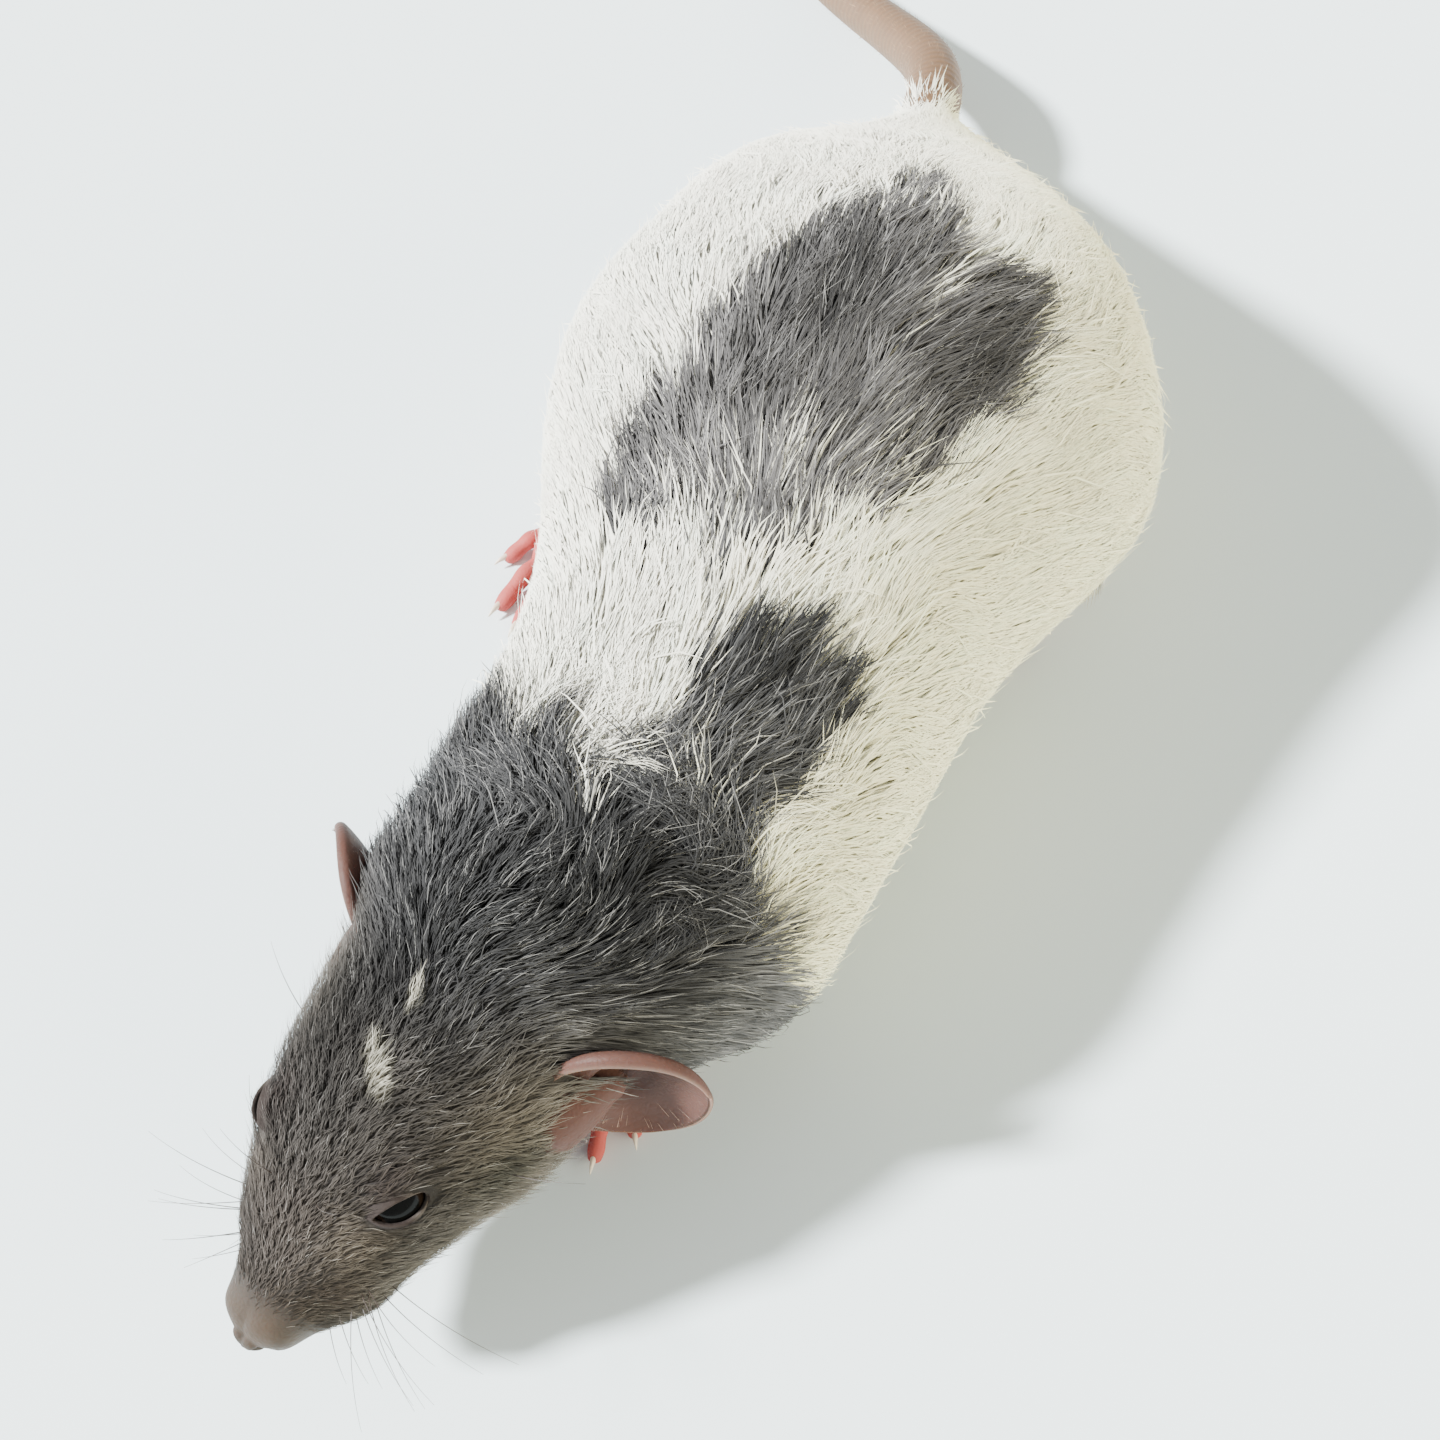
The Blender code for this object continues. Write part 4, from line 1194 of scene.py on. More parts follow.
# Paler rim of the ear: partly its own colour, partly a painted highlight where the rolled rim catches the
# light.
EAR_RIM_AND_HIGHLIGHT = np.array((0.23, 0.148, 0.112))
TAIL_TAN = np.array((0.165, 0.090, 0.045))
LID_BROWN = np.array((0.030, 0.023, 0.021))
LID_MARGIN = np.array((0.034, 0.025, 0.022))
LID_PALE = np.array((0.085, 0.070, 0.060))


@dataclass
class Lids:
    """Upper and lower lids: one rolled rim round the almond opening of each eye.

    Attributes:
        turns: points round the opening.
        crest: height of the rim over the eyeball.
        width: of the rim, from the opening back over the lid.
        clearance: between lid and eyeball.
        roll: how far the margin swells into the opening.
    """

    turns: int = 96
    crest: float = 0.00066
    width: float = 0.0011
    clearance: float = 0.00006
    roll: float = 0.00020

    def almond(self, grow: float = 0.0) -> Array:
        """The opening's outline in its own plane: a superellipse that is pointed at its corners."""
        turn = circle(self.turns)[:, None]
        c, s = squared(turn, np.where(np.cos(turn) > 0, 1.5, 2.1))
        return np.hstack(((EYES.half_length + grow) * c, (EYES.half_height + grow) * s))

    def surface(self, sign: int) -> Surface:
        """The rim of one eye's lids: a profile carried round the almond.

        The profile climbs the eyeball to the opening, rolls over in half a circle, and runs back
        over the lid, sinking under its skin.

        Args:
            sign: 1 for the left eye, -1 for the right.

        Returns:
            The surface.
        """
        centre, out, along, across = EYES.frame(sign)
        rim = self.almond()
        size = np.linalg.norm(rim, axis=1, keepdims=True)
        ball, crest = EYES.radius + self.clearance, EYES.radius + self.crest

        def height(radius: float | Array, flat: Array) -> Array:
            """Height over the eyeball's middle of a place on a ball of that radius."""
            return np.sqrt(np.maximum(radius ** 2 - (flat ** 2).sum(1, keepdims=True), 0.0))

        flats, heights, tints = [], [], []
        for t in (1.0, 0.66, 0.33, 0.0):
            flat = rim * (1 + self.width * t / size)
            flats.append(flat)
            heights.append(height(ball, flat))
            tints.append(LID_MARGIN)
        low, high = heights[-1], height(crest, rim)
        for phase in (0.2, 0.4, 0.6, 0.8):
            flats.append(rim * (1 - self.roll * math.sin(phase * math.pi) / size))
            heights.append(low + (high - low) * (1 - math.cos(phase * math.pi)) / 2)
            tints.append(LID_MARGIN)
        for t in (0.0, 0.12, 0.25, 0.4, 0.6, 0.8, 1.0):
            flat = rim * (1 + self.width * t / size)
            flats.append(flat)
            heights.append(height(crest - (crest - EYES.radius - 0.00025) * t ** 1.5, flat))
            tints.append(LID_MARGIN * (1 - t) + LID_BROWN * t)
        flat, tall = np.stack(flats, 1), np.stack(heights, 1)
        rear = ease((-rim[:, :1] / EYES.half_length - 0.1) / 0.5)[..., None]
        points = centre + flat[..., :1] * along + flat[..., 1:] * across + tall * out
        quads = grid_quads(self.turns, len(tints), closed_rows=True)
        tint = (np.array(tints) * (1 - rear) + LID_PALE * rear).reshape(-1, 3)
        flat_points = points.reshape(-1, 3)
        return outward(Surface(flat_points, quads, np.zeros((0, 3), int), tint,
                               np.full(len(quads), Slot.HIDE.value), np.zeros(len(flat_points))))

    def openings(self, sign: int) -> list[Surface]:
        """What is cut out of the head for one eye: a ball for the eyeball and the almond over it.

        Args:
            sign: 1 for the left eye, -1 for the right.

        Returns:
            The two surfaces.
        """
        centre, out, along, across = EYES.frame(sign)
        flat = self.almond(0.0001)
        heights = np.linspace(EYES.radius * 0.3, EYES.radius + 0.004, 6)
        points = (centre + flat[None, :, :1] * along + flat[None, :, 1:] * across
                  + heights[:, None, None] * out)
        slit = closed_grid(points, LID_MARGIN, Slot.BARE)
        ball = ball_surface(EYES.frame(sign), EYES.radius + 2 * self.clearance, 24, 32, LID_MARGIN)
        return [ball, slit]


def ball_surface(axes_of: tuple[Array, Array, Array, Array], radius: float, rings: int, sides: int,
                 tint: Array, slot: Slot = Slot.BARE) -> Surface:
    """A sphere with its pole on the first axis: cosine and sine of the polar angle times the radius.

    Args:
        axes_of: its middle and its three axes, the pole first.
        radius: of the sphere.
        rings, sides: of the grid.
        tint: one colour, or one for each point.
        slot: material slot.

    Returns:
        The surface.
    """
    centre, out, along, across = axes_of
    polar = np.linspace(0, math.pi, rings + 2)[1:-1][:, None, None]
    turn = circle(sides)[None, :, None]
    ring = along * np.cos(turn) + across * np.sin(turn)
    points = centre + radius * (out * np.cos(polar) + ring * np.sin(polar))
    return closed_grid(points, tint, slot)


@dataclass
class Ear:
    """One large round ear: a cupped flap standing out from the side of the head, open to the front.

    It is a chart as well: u runs from the middle of the front (0) over the rim (1) to the middle of
    the back (2), and v round the flap, with 0 away from the head and 90 degrees at the top.

    Attributes:
        sign: 1 for the left ear, -1 for the right one.
        radius, depth_of_cup, thickness: of the flap.
        centre: its middle, as a place of the head.
        sweep: degrees by which it leans back.
        curl: radius of the rolled rim.
        start: share of the radius at which the rim starts to roll.
        rings, spokes: of the flap's grid.
    """

    sign: int
    radius: float = 0.0093
    depth_of_cup: float = 0.0036
    thickness: float = 0.0009
    centre: Triple = (-0.0020, 0.0213, 0.0000)
    sweep: float = 40.0
    curl: float = 0.00065
    start: float = 0.90
    rings: int = 30
    spokes: int = 112

    def frame(self) -> tuple[Array, Array, Array, Array]:
        """Middle of the flap and its axes: away from the head, up, and the way it faces."""
        turn = math.radians(self.sweep)
        out = HEAD.vector((-math.sin(turn), self.sign * math.cos(turn), 0.10))
        up = HEAD.vector((-0.22, 0.0, 1.0))
        up = unit(up - out * (up @ out))
        face = np.cross(up, out)
        if face @ HEAD.vector((1.0, 0.0, 0.0)) < 0:
            face = -face
        x, y, z = self.centre
        return HEAD.point((x, self.sign * y, z)), out, up, face

    def middle(self, share: Array, turn: Array) -> Array:
        """The flap without its thickness.

        Inside the start of the roll it is a dish, its depth falling with the share to the power of
        2.2. From there it follows an arc that leaves along the dish's own slope and turns up to
        200 degrees at the top of the ear, less at the sides and little at the bottom.

        Args:
            share: of the way from the middle to the rim.
            turn: angle round the flap.

        Returns:
            The points.
        """
        centre, out, up, face = self.frame()
        c, s = np.cos(turn), np.sin(turn)
        reach = self.radius * (1.0 + 0.05 * c - 0.10 * np.maximum(-c, 0.0) + 0.03 * s)
        high = np.maximum(s * 0.94 + c * 0.34, 0.0)
        curl = self.curl * (0.35 + 0.75 * high)
        most = np.radians(40 + 165 * high ** 0.8)
        inner = np.minimum(share / self.start, 1.0)
        lean = 1.0 - 0.55 * np.maximum(s, 0.0)
        slope = np.arctan2(2.2 * self.depth_of_cup * lean, reach * self.start)
        arc = np.clip((share - self.start) / (1 - self.start), 0.0, 1.0) * most
        dish = reach - curl * (1.0 - np.sin(slope))
        flat = dish * inner + curl * (np.sin(slope + arc) - np.sin(slope))
        deep = self.depth_of_cup * (1 - lean * inner ** 2.2) - curl * (np.cos(slope) - np.cos(slope + arc))
        ridge = 0.0009 * np.exp(-((share - 0.52) / 0.10) ** 2) * np.clip(np.sin(turn - 0.9), 0, 1)
        root = 0.0014 * np.exp(-((share - 0.62) / 0.16) ** 2) * np.clip(-c - 0.25, 0, 1)
        hollow = 0.0007 * np.exp(-((share - 0.22) / 0.14) ** 2)
        wave = 0.00030 * np.sin(3 * turn + 0.6 * self.sign) * share ** 3
        deep = deep - ridge - root + hollow + wave
        return centre + out * (flat * c)[..., None] + up * (flat * s)[..., None] - face * deep[..., None]

    def point(self, u: Array, v: Array, lift: Array | float) -> Array:
        """Points of the front (u below 1) and back of the flap, lifted off it.

        Args:
            u, v: parameters of the chart.
            lift: height over the skin.

        Returns:
            The points.
        """
        share = np.clip(np.where(u <= 1, u, 2 - u), 0.02, 1.0)
        step = 0.004
        middle = self.middle(share, v)
        ahead = self.middle(np.minimum(share + step, 1.0), v) - self.middle(share - step, v)
        around = self.middle(share, v + step) - self.middle(share, v - step)
        normal = unit(np.cross(ahead, around)) * self.sign
        side = np.where(u <= 1, 1.0, -1.0)
        half = self.thickness / 2 * (1.0 - 0.45 * share) * np.sqrt(np.maximum(1 - share ** 24, 0.02))
        return middle + normal * ((half + lift) * side)[..., None]

    def depth(self, u: Array, v: Array) -> Array:
        """Depth of the down on the ear."""
        return np.full(np.broadcast(u, v).shape, 0.0004)

    def flap(self) -> Surface:
        """The flap with both its faces."""
        share = np.concatenate((np.linspace(0.04, self.start, self.rings),
                                np.linspace(self.start, 1.0, 15)[1:]))
        u = np.concatenate((share, 2 - share[::-1]))
        grid_u, grid_v = np.meshgrid(u, circle(self.spokes), indexing="ij")
        points = self.point(grid_u, grid_v, 0.0)
        side = np.where(grid_u <= 1, grid_u, 2 - grid_u)
        # Painted shade: the front of the cup darkens towards its middle.
        deep = ease((0.80 - side) / 0.7) * (grid_u <= 1)
        # Paler at the rim: partly its own colour, partly a painted highlight on the rolled edge.
        rim = ease((side - 0.95) / 0.05)
        tint = mixed(mixed(EAR_PINK, EAR_CUP_SHADE, deep), EAR_RIM_AND_HIGHLIGHT, rim)
        return closed_grid(points, tint, Slot.BARE)

    def stem(self) -> Surface:
        """The fleshy root that joins the back of the flap to the head."""
        centre, out, _, face = self.frame()
        inner = centre - out * self.radius * 0.95 - face * self.depth_of_cup * 0.2
        outer = centre - out * self.radius * 0.30 - face * self.depth_of_cup * 0.9
        chart = TubeChart((inner, (inner + outer) / 2, outer), (0.0052, 0.0044, 0.0030),
                          (0.0052, 0.0044, 0.0030))
        return tube_surface(chart, 12, 32, EAR_PINK, Slot.BARE)


def through_ear(lines: Array) -> Array:
    """Which of the given lines, (n, points, 3), run through the flap of an ear.

    The flap is taken as its dish alone, and a line runs through it where it changes sides.

    Args:
        lines: points along each line.

    Returns:
        True for each line that does.
    """
    found = np.zeros(len(lines), bool)
    for sign in (1, -1):
        ear = Ear(sign)
        centre, _, _, face = ear.frame()
        offset = lines - centre
        ahead = offset @ face
        share = np.linalg.norm(offset - ahead[..., None] * face, axis=-1) / ear.radius
        ahead = ahead + ear.depth_of_cup * (1 - np.minimum(share, 1.0) ** 2.2)
        within = share < 1.05
        found |= (within & (ahead > -0.0002)).any(1) & (within & (ahead < 0.0004)).any(1)
    return found


@dataclass
class Leg:
    """One limb above the foot, as a few tapering lengths of one chart each.

    Attributes:
        name: its name.
        lengths: for each length, the places (along, side, height) of its sections.
        radii: for each length, the outer radius at each section.
        coats: for each length, the depth of the coat at each section.
    """

    name: str
    lengths: Sequence[Sequence[Triple]]
    radii: Sequence[Sequence[float]]
    coats: Sequence[Sequence[float]]

    def charts(self, shrink: bool) -> list[TubeChart]:
        """Charts of the lengths, at the tips of the coat or shrunk by it to the skin."""
        found = []
        for places, radii, coats in zip(self.lengths, self.radii, self.coats):
            size = [r - (c if shrink else 0.0) for r, c in zip(radii, coats)]
            found.append(TubeChart([place(*p) for p in places], size, size, coats, cap=0.9))
        return found

    def surfaces(self) -> list[Surface]:
        """The skin of every length."""
        tint = np.array(MARKINGS.cream) * 0.8
        return [tube_surface(c, 20, 28, tint, Slot.HIDE) for c in self.charts(True)]


# Places of the heels and the wrists, the left one first.
HEELS = ((0.0470, 0.0300, 0.0085), (0.0615, -0.0285, 0.0085))
WRISTS = ((0.1535, 0.0100, 0.0070), (0.1405, -0.0060, 0.0070))

# Soles: distance from the root, half width and half height. Toes: distance, side, spread, length, radius.
HIND_SOLE = ((-0.0040, 0.0022, 0.0028), (-0.0010, 0.0038, 0.0042), (0.0060, 0.0040, 0.0044),
             (0.0140, 0.0046, 0.0038), (0.0210, 0.0054, 0.0033), (0.0250, 0.0044, 0.0025))
FORE_SOLE = ((-0.0035, 0.0024, 0.0034), (0.0, 0.0036, 0.0042), (0.0045, 0.0042, 0.0034),
             (0.0085, 0.0040, 0.0026), (0.0105, 0.0028, 0.0020))
HIND_TOES = ((0.0165, 0.0042, 24.0, 0.0080, 0.0014), (0.0225, 0.0034, 9.0, 0.0120, 0.0015),
             (0.0235, 0.0008, 2.0, 0.0130, 0.0015), (0.0230, -0.0020, -7.0, 0.0120, 0.0015),
             (0.0190, -0.0046, -26.0, 0.0085, 0.0014))
FORE_TOES = ((0.0065, 0.0030, 26.0, 0.0062, 0.0012), (0.0085, 0.0012, 8.0, 0.0076, 0.0012),
             (0.0085, -0.0012, -8.0, 0.0076, 0.0012), (0.0062, -0.0031, -28.0, 0.0060, 0.0012))


@dataclass
class Foot:
    """A foot flat on the ground: a sole, knuckled toes with pads, and curved claws.

    Attributes:
        root: place of the heel or wrist.
        yaw: degrees by which the foot points to the animal's left.
        sign: 1 for a left foot, -1 for a right one.
        sole: distance from the root, half width and half height of each section.
        toes: distance, side, spread, length and radius of each toe.
        sink: share of the half height at which the sole's middle lies.
    """

    root: Triple
    yaw: float
    sign: int
    sole: Sequence[Triple]
    toes: Sequence[tuple[float, float, float, float, float]]
    sink: float = 0.80

    def ground(self) -> Array:
        """The point of the ground under the root."""
        return place(self.root[0], self.root[1], 0.0)

    def sole_chart(self) -> TubeChart:
        """The chart of the sole."""
        forward, _, up = axes(self.yaw)
        points = [self.ground() + forward * d + up * h * self.sink for d, _, h in self.sole]
        widths, heights = [w for _, w, _ in self.sole], [h for _, _, h in self.sole]
        coat = np.linspace(0.0006, 0.0002, len(points))
        return TubeChart(points, widths, heights, coat, square=2.4, cap=0.6)

    def toe_line(self, k: int) -> tuple[Array, Array, Array, float]:
        """Base, heading, up and radius of one toe."""
        distance, side, spread, _, radius = self.toes[k]
        forward, left, up = axes(self.yaw)
        ahead, _, _ = axes(self.yaw - self.sign * spread)
        base = self.ground() + forward * distance - left * self.sign * side + up * radius * 1.5
        return base, ahead, up, radius

    def toe(self, k: int) -> Surface:
        """One toe: it swells at the knuckles and ends in a pad.

        Args:
            k: its number.

        Returns:
            The surface.
        """
        base, ahead, up, radius = self.toe_line(k)
        length = self.toes[k][3]
        shares = (-0.12, 0.12, 0.30, 0.50, 0.68, 0.86, 1.0)
        climbs = (-0.05, 0.12, 0.22, 0.35, 0.05, -0.42, -0.72)
        swells = (1.10, 1.0, 0.88, 1.02, 0.86, 0.94, 0.78)
        points = [base + ahead * length * t + up * radius * rise for t, rise in zip(shares, climbs)]
        sizes = [radius * swell for swell in swells]
        chart = TubeChart(points, sizes, sizes, cap=0.8)
        return tube_surface(chart, 22, 18, TOE_PINK, Slot.BARE, ground=True)

    def claw(self, k: int) -> Surface:
        """One claw: a curved cone out of the tip of its toe.

        Args:
            k: its number.

        Returns:
            The surface.
        """
        base, ahead, up, radius = self.toe_line(k)
        tip = base + ahead * self.toes[k][3] - up * radius * 0.75
        t = np.linspace(0.0, 1.0, 7)
        points = [tip + ahead * radius * (2.4 * x - 0.5) + up * radius * (0.35 * math.sin(math.pi * x) + 0.1)
                  for x in t]
        sizes = [radius * (0.52 * (1 - x) ** 0.8 + 0.06) for x in t]
        chart = TubeChart(points, [0.8 * r for r in sizes], sizes, cap=0.6)
        tints = np.array((rgb(206, 170, 150), rgb(232, 220, 200)))
        return tube_surface(chart, 10, 12, tints, Slot.HIDE, ground=True)

    def surfaces(self) -> list[Surface]:
        """The skin of the sole and of every toe."""
        chart = self.sole_chart()
        sole = tube_surface(chart, 34, 32, np.array((BARE_PINK, TOE_PINK)), Slot.BARE, ground=True)
        return [sole] + [self.toe(k) for k in range(len(self.toes))]


@dataclass
class Tail:
    """The tail: it drops to the ground behind the body and sweeps to the animal's right.

    The heading turns fast over the bend and then evenly to the end, and the height falls in a smooth
    step from the root's to the tail's own radius.

    Attributes:
        length: of the whole tail.
        root: place of its first section.
        radii: at the root and at the tip.
        headings: degrees to the right at the root, after the bend, and more by the end.
        bend, landing: lengths over which it bends and comes down to the ground.
        waist, swell: share of the radius at the root, and the length over which it grows to all.
        steps, rings, sides: of the chart and of the skin's grid.
    """

    length: float = 0.190
    root: Triple = (-0.0130, -0.0062, 0.0152)
    radii: tuple[float, float] = (0.0052, 0.0009)
    headings: Triple = (6.0, 34.0, 84.0)
    bend: float = 0.030
    landing: float = 0.068
    waist: float = 0.87
    swell: float = 0.0060
    steps: int = 45
    rings: int = 260
    sides: int = 26

    def chart(self) -> TubeChart:
        """The chart of the tail, one section each step."""
        share = np.linspace(0.0, 1.0, self.steps + 1)
        step = self.length / self.steps
        start, bent, end = self.headings
        turn = np.radians(start + (bent - start) * ease(share * self.length / self.bend)
                          + (end - bent) * share)[:-1]
        along = self.root[0] - np.concatenate(([0.0], np.cumsum(step * np.cos(turn))))
        side = self.root[1] - np.concatenate(([0.0], np.cumsum(step * np.sin(turn))))
        radius = self.radii[0] + (self.radii[1] - self.radii[0]) * share ** 1.15
        fall = ease(share * self.length / self.landing)
        height = self.root[2] + (radius - self.root[2]) * fall
        points = np.stack((side - ORIGIN_SIDE, ORIGIN_ALONG - along, height), -1)
        radius = radius * (self.waist + (1 - self.waist) * ease(share * self.length / self.swell))
        coat = np.full(self.steps + 1, 0.0005)
        return TubeChart(points, radius - 0.00005, radius - 0.00005, coat, cap=1.5)

    def surface(self) -> Surface:
        """The skin of the tail, a little paler towards its end."""
        chart = self.chart()
        made = tube_surface(chart, self.rings, self.sides,
                            np.array((TAIL_TAN * 0.92, TAIL_TAN * 1.08)), Slot.TAIL)
        made.along = made.along / chart.last * self.length
        return made


def legs() -> list[Leg]:
    """The four limbs above the feet, with the same places as the solids'."""
    found = []
    for sign, side_name, heel, wrist in ((1, "left", HEELS[0], WRISTS[0]),
                                         (-1, "right", HEELS[1], WRISTS[1])):
        middle = 0.0085 + sign * 0.0275
        thigh = [(a, middle + sign * o, h) for a, o, h in
                 ((0.0420, -0.0060, 0.0270), (0.0580, 0.0, 0.0265), (0.0760, 0.0020, 0.0200))]
        shank = [(0.0740, middle, 0.0170), heel]
        found.append(Leg(f"hindleg_{side_name}", (thigh, shank), ((0.0120, 0.0158, 0.0130), (0.0105, 0.0062)),
                         ((0.0024, 0.0028, 0.0024), (0.0020, 0.0008))))
        shoulder, elbow = [(wrist[0] + a, 0.0060 + sign * o, h) for a, o, h in
                           ((-0.0130, 0.0165, 0.0270), (-0.0190, 0.0170, 0.0165))]
        found.append(Leg(f"foreleg_{side_name}", ((shoulder, elbow), (elbow, wrist)),
                         ((0.0098, 0.0085), (0.0078, 0.0046)), ((0.0022, 0.0018), (0.0016, 0.0006))))
    return found


def feet() -> list[Foot]:
    """The four feet, with the same places as the solids'."""
    return [Foot(HEELS[0], 5.0, 1, HIND_SOLE, HIND_TOES), Foot(HEELS[1], -11.0, -1, HIND_SOLE, HIND_TOES),
            Foot(WRISTS[0], 2.0, 1, FORE_SOLE, FORE_TOES), Foot(WRISTS[1], -12.0, -1, FORE_SOLE, FORE_TOES)]


FLESH_NODES = ("rump", "loin", "chest", "neck", "head", "nose", "ear_left", "ear_right",
               "foreleg_left", "foreleg_right", "forepaw_left", "forepaw_right", "hindleg_left",
               "hindleg_right", "hindfoot_left", "hindfoot_right", "tail_1", "tail_2", "tail_3",
               "tail_4", "tail_5")


@dataclass
class Skin:
    """The whole skin in one piece, from the nose to the tip of the tail.

    Attributes:
        trunk_step, head_step: spacing of the rings.
        columns: points round a ring.
        cap_rows: rings of the rounded nose.
        bare_from: forward place from which the nose is bare.
    """

    trunk_step: float = 0.0013
    head_step: float = 0.00045
    columns: int = 208
    cap_rows: int = 7
    bare_from: float = 0.0362

    def ring_parameters(self) -> Array:
        """Parameters of the rings, which draw together over the neck."""
        probe = np.linspace(BODY.table_s[0], BODY.table_s[-1], 4000)
        step = self.trunk_step + (self.head_step - self.trunk_step) * ease((probe - 0.150) / 0.025)
        count = np.concatenate(([0.0], np.cumsum(np.diff(probe) / step[1:])))
        s = np.interp(np.linspace(0.0, count[-1], int(count[-1])), count, probe)
        return np.concatenate((BODY.at_arc(s), BODY.last + np.linspace(0, 0.97, self.cap_rows + 1)[1:]))

    def body(self) -> Surface:
        """Trunk, neck and head, with the coat's colours darkened as underfur is."""
        u = self.ring_parameters()
        grid_u, grid_v = np.meshgrid(u, circle(self.columns), indexing="ij")
        points = BODY.point(grid_u, grid_v, -BODY.depth(grid_u, grid_v))
        s = BODY.arc(np.minimum(grid_u, BODY.last))
        tint, weight = MARKINGS.colours(s, chart_angle(grid_v), points)
        forward = HEAD.local(points)[..., 0]
        bare = ease((forward - 0.036) / 0.004)
        tint = tint * ((0.92 - 0.36 * weight) * (1 - bare) + bare)[..., None]
        tint = mixed(tint, TAIL_TAN, ease((BODY.table_s[0] + 0.0028 - s) / 0.002))
        slot = np.where(forward.mean(1) > self.bare_from, Slot.BARE.value, Slot.HIDE.value)
        return closed_grid(points, tint, slot)

    def build(self, ears: Sequence[Ear], lids: Lids, tail: Tail,
              materials: Sequence[Material]) -> Object:
        """Cut the sockets out of the body, join everything to it and dress it.

        Args:
            ears, lids, tail: what joins the body.
            materials: one for each slot.

        Returns:
            The dressed piece.
        """
        skin = mesh_object("skin", self.body(), materials)
        openings = lids.openings(1) + lids.openings(-1)
        cutters = [mesh_object(f"opening_{k}", s, materials) for k, s in enumerate(openings)]
        combined(skin, cutters, "DIFFERENCE")
        surfaces = [lids.surface(1), lids.surface(-1), tail.surface()]
        for ear in ears:
            surfaces += [ear.flap(), ear.stem()]
        for limb in (*legs(), *feet()):
            surfaces += limb.surfaces()
        pieces = [mesh_object(f"joined_{k}", s, materials) for k, s in enumerate(surfaces)]
        combined(skin, pieces, "UNION")
        skin.data.shade_smooth()
        return dress(skin, "fur_white", *FLESH_NODES)


@dataclass
class Eyeball:
    """One eyeball: black pupil, a faint ring of brown iris, dark round it."""

    sign: int
    pupil: float = 34.0
    iris: float = 62.0
    rings: int = 60
    sides: int = 72

    def build(self, material: Material) -> Object:
        """A sphere coloured by the polar angle from the line of sight.

        Args:
            material: of the eye.

        Returns:
            The dressed piece.
        """
        made = ball_surface(EYES.frame(self.sign), EYES.radius, self.rings, self.sides, np.zeros(3))
        centre, out, _, _ = EYES.frame(self.sign)
        polar = np.degrees(np.arccos(np.clip(unit(made.points - centre) @ out, -1, 1)))[:, None]
        ring = ease((polar - self.pupil) / 6) * (1 - ease((polar - self.iris) / 10))
        made.tint = 0.003 + ring * np.array((0.008, 0.004, 0.002))
        made.slots = np.zeros(len(made.slots), int)
        side = "left" if self.sign > 0 else "right"
        return dress(mesh_object(f"eyeball_{side}", made, [material]), "eye_black", f"eye_{side}")


@dataclass
class Claws:
    """All the claws, as one piece of closed cones."""

    def build(self, material: Material) -> Object:
        """Gather the claws of the four feet."""
        cones = [foot.claw(k) for foot in feet() for k in range(len(foot.toes))]
        return dress(mesh_object("claws", gathered(cones), [material]), "skin_pink")


def gathered(surfaces: Sequence[Surface]) -> Surface:
    """Several closed surfaces in one mesh, all in its first slot.

    Args:
        surfaces: the closed surfaces.

    Returns:
        The mesh as one surface.
    """
    starts = np.cumsum([0] + [len(s.points) for s in surfaces[:-1]])
    quads = np.vstack([s.quads + k for s, k in zip(surfaces, starts)])
    triangles = np.vstack([s.triangles + k for s, k in zip(surfaces, starts)])
    return Surface(np.vstack([s.points for s in surfaces]), quads, triangles,
                   np.vstack([s.tint for s in surfaces]), np.zeros(len(quads) + len(triangles), int),
                   np.concatenate([s.along for s in surfaces]))


@dataclass(frozen=True)
class WhiskerSet:
    """One patch of whiskers on each side of the head.

    Attributes:
        place, spread: middle of the patch on the head, and how far the roots lie from it.
        aim: forward, side and up of a whisker in the middle of the patch.
        fan: how far the aims turn over the patch.
        lengths: of the shortest and the longest whisker.
        count: on each side.
    """

    place: Triple
    spread: Triple
    aim: Triple
    fan: Triple
    lengths: tuple[float, float]
    count: int


WHISKERS = (
    WhiskerSet((0.0318, 0.0080, -0.0035), (0.0036, 0.0006, 0.0028), (0.55, 0.80, 0.05),
               (0.50, 0.25, 0.45), (0.008, 0.019), 11),
    WhiskerSet((0.0260, 0.0085, 0.0075), (0.0012, 0.0008, 0.0010), (0.10, 0.5, 0.9),
               (0.35, 0.25, 0.30), (0.007, 0.011), 2),
    WhiskerSet((0.0120, 0.0170, 0.0010), (0.0012, 0.0004, 0.0010), (-0.15, 1.0, 0.35),
               (0.25, 0.15, 0.30), (0.007, 0.011), 1),
)


